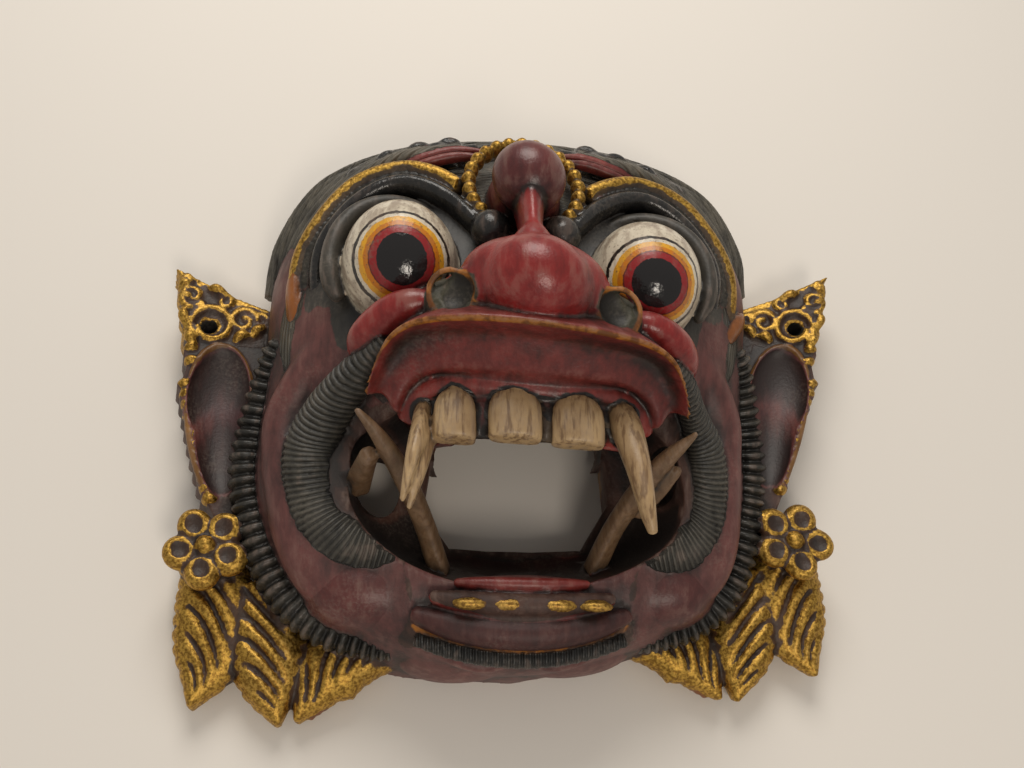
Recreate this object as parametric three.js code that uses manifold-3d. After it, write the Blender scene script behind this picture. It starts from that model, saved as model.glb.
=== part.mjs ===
// A carved and painted wooden dance mask of a guardian beast, lying face up on its back rim.
// Millimetres. +Z is the way the face looks, +Y is towards the crown, +X is the right of someone
// who looks at the face. The origin is the middle of the footprint, on the surface it lies on.
import * as THREE from 'three';
import { mergeVertices } from 'three/addons/utils/BufferGeometryUtils.js';
import Module from 'manifold-3d';

const wasm = await Module();
wasm.setup();

// Driving dimensions of the block.
const EAR_SPAN = 260; // from ear tip to ear tip
const CROWN_Y = 103; // how far the crown reaches above the origin
const CHIN_Y = -95; // how far the chin reaches below it
const CHEEK_HALF = 90; // half the width of the face at its back rim
const WALL = 9; // wood left at the back rim
const FACE_DEPTH = 48; // from the back rim to the front of the cheeks
const HOLLOW_DEPTH = 50; // depth of the hollow behind the brow
const MOUTH_HOLLOW_DEPTH = 12; // depth of the hollow behind the mouth, which is shallower

// Eyes.
const EYE_HALF = [19.5, 21.5, 22.5]; // half sizes of the eyeball
const EYE_AT = [42, 31, 66];
const LID_GAP = 4; // from the eyeball to the middle of the lid
const BROW_GAP = 17; // from the eyeball to the middle of the brow

// Nose and upper jaw.
const NOSE_TIP_Z = 118;
const NOSE_HALF = 18;
const NOSTRIL_RADIUS = 6.8;
const LIP_HALF = 52; // half the width of the upper lip
const LIP_TOP_Z = 107; // the lip in the middle
const LIP_CORNER_Z = 72; // the lip at the corners of the mouth
const GUM_HALF = 41;
const GUM_TOP_Z = 84;
const TOOTH_LENGTH = 15.5;
const TOOTH_DEPTH = 7;
const TEETH = [[-23.5, 14], [-5, 17.5], [14.5, 17.5]]; // middle and width of each front tooth

// Lower jaw.
const JAW_HALF = 46;
const JAW_TOP_Z = 49;

// Hair and whiskers.
const COIL_RADIUS = 6.5;
const COIL_RINGS = 13;
const WHISKER_RIBS = 11;

// Ears, flowers and leaves.
const EAR_THICK = 11;
const EAR_TILT = 12; // degrees that the outer edge lifts
const EAR_BACK_Z = 6;
const EAR_LOBES = 6;
const LOBE_DEPTH = 2.4;
const FLOWER_AT = [CHEEK_HALF + 11.5, -52, 22];
const LEAF_LOBES = 4;
const PETALS = 5;
const PETAL_REACH = 7.8;

// Jewel on the forehead.
const KNOB_RADIUS = 12.5;
const KNOB_AT = [0, 57, 86];
const BEADS = 8;

// How far the hand-cut face is out of true.
const TWIST = 0.00156; // twist round the long axis, per millimetre squared
const TWIST_LEVEL = 44; // height that the twist leaves in place
const FULL_CHEEK = 4; // the left cheek is this much fuller, the right one as much leaner

// Joins the shared corners of a three.js geometry and makes it a solid.
function solid(geometry) {
  const bare = geometry.clone();
  bare.deleteAttribute('normal');
  bare.deleteAttribute('uv');
  const merged = mergeVertices(bare, 1e-4);
  return new wasm.Manifold(new wasm.Mesh({
    numProp: 3,
    vertProperties: new Float32Array(merged.attributes.position.array),
    triVerts: new Uint32Array(merged.index.array),
  }));
}

// The same geometry on the other side of the face.
function mirrored(geometry) {
  const other = mergeVertices(geometry.clone());
  other.scale(-1, 1, 1);
  const corners = other.index.array;
  for (let i = 0; i < corners.length; i += 3) {
    const swap = corners[i];
    corners[i] = corners[i + 1];
    corners[i + 1] = swap;
  }
  return other;
}

// A form on each side of the face.
function pair(geometry) {
  return [solid(geometry), solid(mirrored(geometry))];
}

function join(solids) {
  return solids.reduce((whole, piece) => whole.add(piece));
}

// A rounded lump: its middle, its three half sizes and its turn in degrees.
function lump(middle, half, sides = 12, rings = 8, turn = [0, 0, 0]) {
  const geometry = new THREE.SphereGeometry(1, sides, rings);
  geometry.rotateX(Math.PI / 2);
  geometry.scale(...half);
  geometry.rotateX(THREE.MathUtils.degToRad(turn[0]));
  geometry.rotateY(THREE.MathUtils.degToRad(turn[1]));
  geometry.rotateZ(THREE.MathUtils.degToRad(turn[2]));
  return geometry.translate(...middle);
}

// Where a value lies along a list, with even steps between its entries.
function along(list, t) {
  const place = t * (list.length - 1);
  const before = Math.min(Math.floor(place), list.length - 2);
  return THREE.MathUtils.lerp(list[before], list[before + 1], place - before);
}

// A strand laid along a smooth path. Each stop is [x, y, z, half width, half height].
// Ribs are cut across its upper half, and lobes into its edges, each as deep as a share of its size.
// Its under side is root times as deep as its upper side, so that it sinks well into what carries it.
function strand(stops, sides, steps, { ribs = 0, lobes = 0, cut = 0.3, root = 1, up = [0, 0, 1] } = {}) {
  const path = new THREE.CatmullRomCurve3(stops.map((p) => new THREE.Vector3(p[0], p[1], p[2])));
  path.curveType = 'catmullrom';
  const geometry = new THREE.SphereGeometry(1, sides, steps);
  const corners = geometry.attributes.position;
  const raised = new THREE.Vector3(...up);
  for (let ring = 0; ring <= steps; ring += 1) {
    const t = ring / steps;
    const middle = path.getPoint(t);
    const way = path.getTangent(t);
    const side = way.clone().cross(raised).normalize();
    const rise = side.clone().cross(way).normalize();
    const groove = (count) => (count ? 1 - cut * Math.cos(Math.PI * count * t) ** 2 : 1);
    const width = along(stops.map((p) => p[3]), t);
    const height = along(stops.map((p) => p[4]), t);
    for (let turn = 0; turn <= sides; turn += 1) {
      const angle = (2 * Math.PI * turn) / sides;
      const end = ring === 0 || ring === steps ? 0 : 1;
      const upper = ribs && Math.sin(angle) > -0.1 ? groove(ribs) : 1;
      const corner = middle.clone()
        .addScaledVector(side, width * groove(lobes) * upper * Math.cos(angle) * end)
        .addScaledVector(rise, height * upper * Math.sin(angle) * (Math.sin(angle) < 0 ? root : 1) * end);
      corners.setXYZ(ring * (sides + 1) + turn, corner.x, corner.y, corner.z);
    }
  }
  return geometry;
}

// A solid through a row of closed rings that have as many corners each. Each ring runs anticlockwise
// for someone who looks back along the row from its far end.
function loft(rings) {
  const count = rings[0].length;
  const places = rings.flat(2);
  const faces = [];
  for (let ring = 0; ring < rings.length - 1; ring += 1) {
    for (let i = 0; i < count; i += 1) {
      const a = ring * count + i;
      const b = ring * count + ((i + 1) % count);
      faces.push(a, b, a + count, b, b + count, a + count);
    }
  }
  const last = (rings.length - 1) * count;
  for (let i = 1; i < count - 1; i += 1) {
    faces.push(0, i + 1, i, last, last + i, last + i + 1);
  }
  const geometry = new THREE.BufferGeometry();
  geometry.setAttribute('position', new THREE.Float32BufferAttribute(places, 3));
  geometry.setIndex(faces);
  return geometry;
}

// A flat board cut to an outline, from its back to its front.
function board(outline, back, front) {
  const shape = new THREE.Shape(outline.map((p) => new THREE.Vector2(p[0], p[1])));
  const geometry = new THREE.ExtrudeGeometry(shape, { depth: front - back, bevelEnabled: false });
  return mergeVertices(geometry.translate(0, 0, back), 1e-4);
}

// One side of the outline of the face at its back, from the crown down to the chin.
const EDGE = new THREE.CatmullRomCurve3([
  [0, CROWN_Y], [0.52, 0.95 * CROWN_Y], [0.8, 0.82 * CROWN_Y], [1, 0.5 * CROWN_Y],
  [0.97, 0], [0.95, 0.4 * CHIN_Y], [0.8, 0.72 * CHIN_Y], [0.5, 0.93 * CHIN_Y], [0, CHIN_Y],
].map(([share, y]) => new THREE.Vector3(share * CHEEK_HALF, y, 0)));

// The whole edge as evenly spread points, up one side and down the other.
function edgePoints(count) {
  const half = EDGE.getSpacedPoints(count / 2);
  const other = half.slice(1, -1).reverse().map((p) => new THREE.Vector3(-p.x, p.y, 0));
  return [...half, ...other];
}

// A dome over the edge: straight at its foot and round at its top, where fullness sets how boxy it is.
function dome(inset, foot, heightAt, fullness, count, rings) {
  const middle = new THREE.Vector3(0, 4, 0);
  const edge = edgePoints(count);
  const layers = [];
  for (let ring = 0; ring <= rings; ring += 1) {
    const rise = Math.sin((ring / rings) * (Math.PI / 2)) ** (2 / fullness);
    const share = Math.max(0.04, Math.cos((ring / rings) * (Math.PI / 2)) ** (2 / fullness));
    layers.push(edge.map((p) => {
      const out = p.clone().sub(middle);
      const place = middle.clone().addScaledVector(out, share * (1 - inset / out.length()));
      return [place.x, place.y, rise * heightAt(place.y)];
    }));
  }
  layers.unshift(layers[0].map(([x, y]) => [x, y, foot]));
  return loft(layers.map((layer) => layer.slice().reverse()));
}

// The front of the face: the dome of the cheeks, the brow over it and the roll of hair round it.
function headForms() {
  const forms = [solid(dome(0, 0, () => FACE_DEPTH, 5, 26, 3))];
  forms.push(solid(lump([0, 25, 30], [CHEEK_HALF - 5, 75, 40], 16, 7)));
  forms.push(...pair(strand(inFrom([
    [2, 52, 14, 7, 12], [6, 66, 20, 8, 12], [20, 83, 29, 9, 12],
    [44, 92, 35, 9, 12], [68, 95, 38, 9, 12], [94, 96, 40, 9, 10],
  ]), 6, 7)));
  forms.push(...pair(strand(inFrom([
    [5, 44, 28, 2, 3], [11, 60, 36, 3, 4], [26, 76, 46, 3, 4], [46, 86, 53, 3, 4], [70, 90, 56, 2, 3],
  ]), 4, 5)));
  for (const [x, y, z] of [[50, 91, 46], [28, 94, 49]]) {
    forms.push(...pair(lump([x, y, z], [6, 5, 5], 6, 4)));
  }
  return forms;
}

// The round staring eyes, each under a heavy lid and two brows.
function eyeForms() {
  const [x, y, z] = EYE_AT;
  const lid = [];
  const brow = [];
  for (let angle = -30; angle <= 215; angle += 35) {
    const turn = THREE.MathUtils.degToRad(angle);
    const end = angle < -20 || angle > 200 ? 0.5 : 1;
    const fall = 8 - 6 * Math.cos(turn) - 3 * Math.sin(turn);
    lid.push([
      x + (EYE_HALF[0] + LID_GAP) * Math.cos(turn), y + 2 + (EYE_HALF[1] + LID_GAP) * Math.sin(turn),
      z - fall, 3.4 * end, 5 * end,
    ]);
  }
  for (let angle = -20; angle <= 160; angle += 30) {
    const turn = THREE.MathUtils.degToRad(angle);
    const reach = EYE_HALF[0] + BROW_GAP + 3 * Math.sin(turn);
    brow.push([
      x + reach * Math.cos(turn), y + 2 + reach * Math.sin(turn),
      z - 12 - 11 * Math.cos(turn) - 2 * Math.sin(turn), 4, 5,
    ]);
  }
  return [
    ...pair(lump(EYE_AT, EYE_HALF, 14, 8)),
    ...pair(strand(lid, 5, 9)),
    ...pair(strand(brow, 5, 8)),
    ...pair(lump([CHEEK_HALF - 12, 14, 40], [5, 8, 5], 6, 4)),
  ];
}

// The bulb of the nose on its broad shoulders, its narrow bridge and the two ringed nostrils.
function noseForms() {
  const bulb = NOSE_TIP_Z - 20;
  return [
    solid(lump([0, 7.5, bulb], [NOSE_HALF, 15.5, 20], 14, 8)),
    solid(strand([
      [-NOSE_HALF - 11, 5, bulb - 13, 4, 6], [-NOSE_HALF, 7, bulb - 8, 9, 12], [0, 9, bulb - 4, 15, 18],
      [NOSE_HALF, 7, bulb - 8, 9, 12], [NOSE_HALF + 11, 5, bulb - 13, 4, 6],
    ], 10, 8)),
    solid(strand([
      [0, 10, bulb - 10, 14, 14], [0, 22, bulb - 8, 10, 12], [0, 31, bulb - 10, 4.5, 10],
      [0, 42, bulb - 12, 4.5, 10], [0, 54, bulb - 16, 7, 10],
    ], 8, 6)),
    ...pair(new THREE.TorusGeometry(NOSTRIL_RADIUS, 2.4, 5, 8)
      .rotateX(THREE.MathUtils.degToRad(26)).rotateY(THREE.MathUtils.degToRad(14)).translate(25.5, 3, 96)),
    ...pair(strand([
      [28, 6, 82, 3, 4], [38, 3, 85, 5, 6], [47, 0, 79, 5.5, 6], [54, -5, 70, 4.5, 5], [58, -10, 62, 2, 3],
    ], 6, 6)),
  ];
}

// The arch of the upper lip at one angle, from -1 at one corner to 1 at the other.
function archPoint(half, top, corner, y, dip, share) {
  const angle = share * (Math.PI / 2);
  const out = Math.abs(Math.sin(angle));
  return [
    half * Math.sin(angle),
    y + 3 * out ** 2 - (dip + 3) * out ** 10,
    corner + (top - corner) * Math.cos(angle),
  ];
}

// The upper jaw: its mass, and the hollowed band between the edge of the lip and the gum.
function upperJawForms() {
  const rings = [];
  const steps = 12;
  for (let i = 0; i <= steps; i += 1) {
    const share = (2 * i) / steps - 1;
    const lip = archPoint(LIP_HALF, LIP_TOP_Z, LIP_CORNER_Z, -10, 12, share);
    const gum = archPoint(GUM_HALF, GUM_TOP_Z, 68, -16.5, 8, share);
    const hollow = lip.map((value, axis) => (value + gum[axis]) / 2 + [0, 4, 0][axis]);
    const root = [gum[0] * 0.8, gum[1] + 16, gum[2] - 14];
    const crest = [lip[0] * 0.97, lip[1] + 2.5, lip[2]];
    const slope = [lip[0] * 0.82, lip[1] + 13, lip[2] - 11];
    rings.push([lip, hollow, gum, root, slope, crest]);
  }
  return [
    solid(lump([0, 2, 48], [54, 27, 52], 14, 8)),
    solid(loft(rings)),
    solid(strand(Array.from({ length: 9 }, (_, i) => {
      const [x, y, z] = archPoint(GUM_HALF - 3, GUM_TOP_Z - 1, 68, -17.5, 7, i / 4 - 1);
      return [x, y, z - 3, 4, 5];
    }), 5, 9, { up: [0, -1, 1] })),
    solid(strand([
      [-31, -26, 70, 8, 3], [-14, -26, 76, 9, 3], [14, -26, 76, 9, 3], [31, -26, 70, 8, 3],
    ], 6, 5)),
  ];
}

// Three front teeth, the long fangs beside them and the tusks that rise from the lower jaw.
function teethForms() {
  const forms = TEETH.map(([middle, width]) => {
    const half = width / 2;
    const front = GUM_TOP_Z - 1 - 6 * (middle / GUM_HALF) ** 2;
    const top = -20 - 3 * (middle / GUM_HALF) ** 2;
    const tooth = (y, narrow, rise) => [
      [middle - half * narrow, y, front - TOOTH_DEPTH], [middle + half * narrow, y, front - TOOTH_DEPTH],
      [middle + half * narrow, y, front - 2 + rise], [middle, y, front + rise],
      [middle - half * narrow, y, front - 2 + rise],
    ];
    return solid(loft([
      tooth(top + 6, 0.7, -3), tooth(top, 0.85, -1), tooth(top - 5, 1, 0),
      tooth(top - TOOTH_LENGTH + 1, 1, 0), tooth(top - TOOTH_LENGTH, 0.9, -1),
    ]));
  });
  forms.push(solid(strand([
    [28, -17, 68, 4, 5], [30, -26, 75, 5.2, 5], [32.5, -42, 80, 4, 4.4],
    [34.5, -56, 80, 2.6, 3], [36, -63, 79, 1.4, 1.4],
  ], 6, 6)));
  forms.push(solid(strand([
    [-33, -20, 66, 3, 4], [-34, -30, 74, 2.8, 4], [-36, -43, 79, 2.4, 3.4], [-39, -58, 78, 0.8, 0.8],
  ], 5, 6)));
  forms.push(solid(strand([
    [-31, -21, 65, 2.4, 3], [-31.5, -33, 72, 2.6, 3.6], [-34, -48, 76, 1.8, 2.8], [-37, -59, 75, 0.8, 0.8],
  ], 5, 6)));
  forms.push(...pair(strand([
    [26, -63, 28, 4, 6], [31.5, -51, 40, 3.6, 4.6], [38.5, -41, 55, 3.6, 4],
    [46, -33, 66, 2.8, 3], [54, -27, 75, 0.8, 0.8],
  ], 6, 6)));
  forms.push(solid(strand(inFrom([
    [36, -38, 40, 4, 4], [38.5, -37, 54, 3.4, 3.4], [40, -36, 61, 3, 3], [40.5, -35.5, 63, 2.4, 2.4],
  ]).map(([x, ...rest]) => [-x, ...rest]), 6, 4)));
  forms.push(solid(strand([
    [38, -46, 44, 4, 4], [44, -41, 54, 3.4, 3.4], [48, -37, 60, 2.6, 2.6], [50, -36, 63, 1, 1],
  ], 6, 4)));
  return forms;
}

// The lower jaw with its lip, gum, four worn teeth, tongue line and the narrow beard under it.
function lowerJawForms() {
  const jawMiddle = CHIN_Y + 15;
  const arc = (half, y, bend, z, fall, width, height) => Array.from({ length: 7 }, (_, i) => {
    const share = i / 3 - 1;
    return [half * share, y + bend * share ** 2, z - fall * share ** 2, width * (1 - share ** 4 / 2), height];
  });
  const forms = [
    solid(lump([0, jawMiddle, 24], [JAW_HALF, 16, JAW_TOP_Z - 24], 12, 6)),
    solid(strand(arc(35, CHIN_Y + 7.5, 8, 44, 4, 5, 4.8), 6, 8, { up: [0, -0.4, 1] })),
    solid(strand(arc(34, CHIN_Y + 2, 10, 35, 3, 2.6, 3.4), 4, 8, { up: [0, -1, 0.6] })),
    solid(strand(arc(30, CHIN_Y + 16, 3, JAW_TOP_Z, 3, 3.5, 3), 4, 6)),
    solid(strand(arc(22, CHIN_Y + 23, 1, JAW_TOP_Z - 2.5, 3, 2.5, 3), 4, 6)),
    ...pair(lump([18, CHIN_Y + 8, 16], [22, 9, 18], 6, 4)),
  ];
  for (const x of [-17, -5, 11, 23]) {
    forms.push(solid(lump([x, CHIN_Y + 16, JAW_TOP_Z + 1], [5.4, 2.2, 3], 5, 3)));
  }
  return forms;
}

// Stops whose first number is how far in they lie from the side of the face.
function inFrom(stops) {
  return stops.map(([inset, ...rest]) => [CHEEK_HALF - inset, ...rest]);
}

// Cheeks, the bulbs at their lower ends, the ribbed whiskers inside them and the coiled locks outside.
function cheekForms() {
  return [
    ...pair(strand(inFrom([
      [30, 14, 52, 3, 4], [22, 5, 44, 7, 8], [14.5, -10, 36, 8, 9], [14.5, -24, 34, 8, 9],
      [16.5, -38, 34, 8, 9], [20, -51, 34, 9, 9], [27, -62, 33, 11, 10], [37, -69, 31, 12, 11],
    ]), 7, 9)),
    ...pair(lump([CHEEK_HALF - 40, -70.5, 29], [19, 13, 15], 8, 5, [0, 0, 8])),
    ...pair(strand(inFrom([
      [46, -4, 78, 4, 5], [37, -9, 66, 6, 6], [29, -15, 54, 7, 6], [23, -25, 45, 8, 6], [23, -38, 42, 8, 6],
      [27, -50, 41, 8, 6], [36, -58, 40, 8, 6], [46, -60, 38, 7, 6], [54, -62, 34, 4, 4],
    ]), 4, WHISKER_RIBS * 2, { ribs: WHISKER_RIBS, cut: 0.28 })),
    ...pair(strand(inFrom([
      [8, 20, 34, 1, 0.8], [4, 8, 28, 1, 1], [1, -8, 24, 1, 1], [0, -24, 23, 1, 1],
      [3, -40, 22, 1, 1], [8, -56, 22, 1, 1], [16, -70, 22, 1, 1], [27, -79, 22, 1, 1],
      [40, -83, 22, 1, 1], [50, -84, 22, 0.8, 0.8],
    ]).map(([x, y, z, w, h]) => [x, y, z, COIL_RADIUS * w, COIL_RADIUS * h]), 5, COIL_RINGS * 2,
    { ribs: COIL_RINGS, cut: 0.2, root: 2 })),
  ];
}

// A leaf-shaped ear: a board with a lobed outer edge, hollowed in the middle, with scrolls above.
function earForms() {
  const tip = EAR_SPAN / 2;
  const root = CHEEK_HALF - 12;
  const outline = [[root, 38], [root + 16, 44], [108, 48], [tip, 57]];
  const lobe = (from, to, count) => {
    for (let i = 0; i < count * 2; i += 1) {
      const t = i / (count * 2);
      const out = i % 2 ? 0 : -LOBE_DEPTH;
      outline.push([THREE.MathUtils.lerp(from[0], to[0], t) + out, THREE.MathUtils.lerp(from[1], to[1], t)]);
    }
  };
  lobe([tip - 1, 52], [0.93 * tip, 17], 3);
  lobe([0.945 * tip, 12], [0.82 * tip, -34], EAR_LOBES);
  outline.push([root + 22, -44], [root + 6, -40], [root + 2, 0]);
  const place = (geometry) => geometry.translate(-CHEEK_HALF, 0, 0)
    .rotateY(-THREE.MathUtils.degToRad(EAR_TILT)).translate(CHEEK_HALF, 0, EAR_BACK_Z);
  const plate = place(board(outline.reverse(), 0, EAR_THICK));
  const dish = place(lump([105.5, -3, EAR_THICK + 2], [8.6, 28, 6], 8, 5, [0, 0, -9]));
  const ridge = [];
  for (let angle = 20; angle <= 340; angle += 40) {
    const turn = THREE.MathUtils.degToRad(angle + 180 + 90);
    const lean = 4.6 * Math.sin(turn);
    ridge.push([105.5 + 10 * Math.cos(turn) + lean, -3 + 29 * Math.sin(turn), EAR_THICK, 1.6, 2.2]);
  }
  const scrolls = [
    [[98, 40, 3], [106, 33, 3], [114, 36, 3], [113, 43, 2]],
    [[127, 50, 2], [121, 38, 4], [119, 20, 2]],
  ].map((path) => place(strand(path.map(([x, y, w]) => [x, y, EAR_THICK, w, 2.8]), 4, 4)));
  const plates = pair(plate);
  const dishes = pair(dish);
  return [
    plates[0].subtract(dishes[0]),
    plates[1].subtract(dishes[1]),
    ...pair(place(strand(ridge, 4, 7))),
    ...scrolls.flatMap((scroll) => pair(scroll)),
  ];
}

// A five-petalled flower under each ear, and the leaves that hang from it to the chin.
function leafForms() {
  const [x, y, z] = FLOWER_AT;
  const forms = [
    ...pair(lump([x, y, z - 5], [11, 11, 9], 8, 4)),
    ...pair(lump([x, y, z + 4], [3.8, 3.8, 4], 6, 4)),
  ];
  for (let petal = 0; petal < PETALS; petal += 1) {
    const turn = THREE.MathUtils.degToRad(62 + (petal * 360) / PETALS);
    const at = [x + PETAL_REACH * Math.cos(turn), y + PETAL_REACH * Math.sin(turn), z + 2];
    forms.push(...pair(lump(at, [5.6, 5, 4.5], 6, 3, [0, 0, THREE.MathUtils.radToDeg(turn)])));
  }
  const outer = [[x, -50, 12, 10, 9], [x - 2, -66, 11, 14, 9], [x, -84, 9, 12, 7], [x + 5, -99, 8, 1, 4]];
  const middle = [
    [x - 17, -60, 11, 9, 8], [x - 19, -76, 10, 13, 9], [x - 21, -92, 9, 11, 8], [x - 24, -106, 7, 1, 4],
  ];
  const inner = [[38, -84, 8, 5, 7], [50, -85, 9, 9, 8], [62, -90, 9, 12, 8], [72, -105, 7, 1, 4]];
  for (const stops of [outer, middle, inner]) {
    forms.push(...pair(strand(stops, 4, LEAF_LOBES * 2, { lobes: LEAF_LOBES, cut: 0.2 })));
  }
  return forms;
}

// The jewel on the forehead: a ball on a stem, a beaded collar behind it and two dark balls beside it.
function jewelForms() {
  const [x, y, z] = KNOB_AT;
  const collar = [];
  for (let angle = -20; angle <= 200; angle += 27.5) {
    const turn = THREE.MathUtils.degToRad(angle);
    collar.push([x + 19 * Math.cos(turn), y + 9 + 19 * Math.sin(turn), 66 - 5 * Math.sin(turn), 4, 5]);
  }
  return [
    solid(lump(KNOB_AT, [KNOB_RADIUS, KNOB_RADIUS, KNOB_RADIUS], 12, 7)),
    solid(strand([[0, 66, 56, 12, 12], [0, 60, 68, 13, 13], [0, 57, 78, 10, 10], [0, 56, 84, 4, 4]], 8, 4,
      { up: [0, 1, 0] })),
    solid(strand(collar, 5, BEADS * 2, { ribs: BEADS, lobes: BEADS, cut: 0.3 })),
    ...pair(lump([12, 43, 74], [7, 7, 7], 8, 5)),
  ];
}

// The bowl of the open mouth, sunk into the face before the jaws are set in it.
function mouthBowl() {
  return solid(lump([0, -40, 52], [CHEEK_HALF - 33, 34, 36], 16, 7));
}

// The ways through to the back: the open mouth, which slopes up into the hollow, and a gap behind the
// tusks on each side, larger on the left.
function mouthHoles() {
  const mouth = board([[-30, -22], [-32, -37], [-23, -52], [23, -54], [33, -38], [32, -22]], -5, 60);
  return [
    solid(mouth),
    solid(lump([1, -18, 22], [31, 16, 30], 10, 6)),
    solid(lump([41 - CHEEK_HALF, -31, 20], [9, 15, 40], 10, 6)),
    solid(lump([CHEEK_HALF - 40, -31, 20], [6, 11, 40], 10, 6)),
  ];
}

// The hollow behind the face, deep behind the brow and shallow behind the mouth.
function backCuts() {
  const depthAt = (y) => THREE.MathUtils.lerp(
    MOUTH_HOLLOW_DEPTH, HOLLOW_DEPTH, THREE.MathUtils.smoothstep(y, -22, 18));
  return [
    solid(dome(WALL, -5, depthAt, 3, 18, 3)),
    solid(lump([0, 0, 30], [36, 16, 44], 8, 5)),
  ];
}

// Nostril pits and a pit in each ear scroll.
function pitCuts() {
  return [
    ...pair(lump([25.2, 2, 99], [5.6, 5.6, 6], 7, 4, [26, 14, 0])),
    ...pair(lump([110, 37, 22], [3, 3, 9], 6, 4)),
  ];
}

// The face is shaped first, then the jaws are set in its mouth, and the back and the holes are cut.
// Nothing goes below the surface that the mask lies on.
function carve() {
  const face = join([...headForms(), ...cheekForms(), ...eyeForms(), ...jewelForms(),
    ...earForms(), ...leafForms()]).subtract(mouthBowl());
  const jaws = join([...upperJawForms(), ...noseForms(), ...lowerJawForms()]);
  const cuts = join([...mouthHoles(), ...backCuts(), ...pitCuts()]);
  const below = solid(new THREE.BoxGeometry(400, 400, 100).translate(0, 0, -50));
  return face.add(jaws).subtract(cuts).add(join(teethForms())).subtract(below);
}

// Puts a point where the carver's hand left it.
function byHand(x, y, z) {
  const cheek = THREE.MathUtils.smoothstep(Math.abs(x), 50, 68) * Math.exp(-(((y + 25) / 45) ** 2));
  return [x - FULL_CHEEK * cheek, y - TWIST * (z - TWIST_LEVEL) * x, z];
}

function maskGeometry() {
  const { vertProperties, triVerts } = carve().getMesh();
  const places = [];
  for (let i = 0; i < vertProperties.length; i += 3) {
    places.push(...byHand(vertProperties[i], vertProperties[i + 1], vertProperties[i + 2]));
  }
  const geometry = new THREE.BufferGeometry();
  geometry.setAttribute('position', new THREE.Float32BufferAttribute(places, 3));
  geometry.setIndex([...triVerts]);
  geometry.computeVertexNormals();
  geometry.computeBoundingBox();
  const middle = geometry.boundingBox.getCenter(new THREE.Vector3());
  return geometry.translate(-middle.x, -middle.y, 0);
}

// Painted wood, mostly dark red and soot black.
const paintedWood = new THREE.MeshStandardMaterial({ color: 0x5a2f29, roughness: 0.5, metalness: 0 });

const mask = new THREE.Mesh(maskGeometry(), paintedWood);
mask.name = 'mask';

const part = new THREE.Group();
part.add(mask);

export default part;
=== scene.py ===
# %% [markdown]
# A carved and painted guardian-beast mask
#
# The real mask is cut from one block of light wood: a round face with staring eyes, a bulbous nose,
# an open mouth with fangs and tusks, leaf-shaped ears, and carved flowers and leaves below them. It
# lies face up on its flat back rim. This lesson shapes it as a carver would: rounded lumps and long
# strands are laid on each other as in clay, fused, and then hollowed, before the paint goes on.

# %% Load the frame
import math

import bpy
import numpy as np
from mathutils import Matrix, Vector, kdtree
from mathutils.bvhtree import BVHTree


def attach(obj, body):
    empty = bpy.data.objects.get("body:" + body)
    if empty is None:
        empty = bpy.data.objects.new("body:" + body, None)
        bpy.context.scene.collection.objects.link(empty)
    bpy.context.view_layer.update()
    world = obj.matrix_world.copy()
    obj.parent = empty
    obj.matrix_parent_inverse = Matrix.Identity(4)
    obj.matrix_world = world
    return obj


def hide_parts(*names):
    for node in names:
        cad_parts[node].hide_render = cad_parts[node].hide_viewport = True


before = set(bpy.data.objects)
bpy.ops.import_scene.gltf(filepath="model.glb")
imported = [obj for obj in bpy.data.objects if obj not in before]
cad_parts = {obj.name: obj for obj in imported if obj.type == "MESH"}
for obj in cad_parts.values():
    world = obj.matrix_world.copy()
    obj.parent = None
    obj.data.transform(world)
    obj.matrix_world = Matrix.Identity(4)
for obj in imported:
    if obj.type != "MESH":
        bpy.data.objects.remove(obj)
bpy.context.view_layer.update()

# %% [markdown]
# The block's own sizes come first, in millimetres, because that is how a carver measures. The face
# was cut by hand, so it is a little out of true: it twists round its long axis, and one cheek is
# fuller than the other. Every form is laid out on a true face, and one function then moves it to
# where the hand left it and to the frame's origin, which is the middle of the mask's box.

# %% Sizes of the block
MM = 0.001
EAR_SPAN = 260.0
CROWN_Y = 103.0
CHIN_Y = -95.0
CHEEK_HALF = 90.0
WALL = 9.0
FACE_DEPTH = 48.0
HOLLOW_DEPTH = 50.0
MOUTH_HOLLOW_DEPTH = 12.0
TWIST = 0.00156
TWIST_LEVEL = 44.0
FULL_CHEEK = 4.0
SEAT = (0.145, 2.962)
print("the block is", EAR_SPAN, "mm between ear tips and", CROWN_Y - CHIN_Y, "mm from crown to chin")


def by_hand(places):
    """Moves points of the true face, in millimetres, to where the carver's hand left them."""
    x, y, z = places[:, 0], places[:, 1], places[:, 2]
    share = np.clip((np.abs(x) - 50.0) / 18.0, 0.0, 1.0)
    cheek = share * share * (3.0 - 2.0 * share) * np.exp(-(((y + 25.0) / 45.0) ** 2))
    moved = np.empty_like(places)
    moved[:, 0] = x - FULL_CHEEK * cheek + SEAT[0]
    moved[:, 1] = y - TWIST * (z - TWIST_LEVEL) * x + SEAT[1]
    moved[:, 2] = z
    return moved


# %% [markdown]
# The camera stands where the photographer stood: above the chin, a little to the left, and tilted.
# Its place was worked out from the mask's paired features, which a symmetrical face gives in plenty.
# A plain pale table, one broad soft light from beyond the crown and a weak one from the front give
# the same soft modelling, and a grey world fills the shadows.

# %% Camera, table and light
PHOTO_WIDTH = 1024
FOCAL_PIXELS = 1092.0
SENSOR_MM = 36.0
CAMERA_AT = (-35.67, -159.56, 387.12)
CAMERA_ELEVATION = math.radians(64.2)
CAMERA_YAW = math.radians(-11.6)
CAMERA_ROLL = math.radians(12.2)


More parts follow.
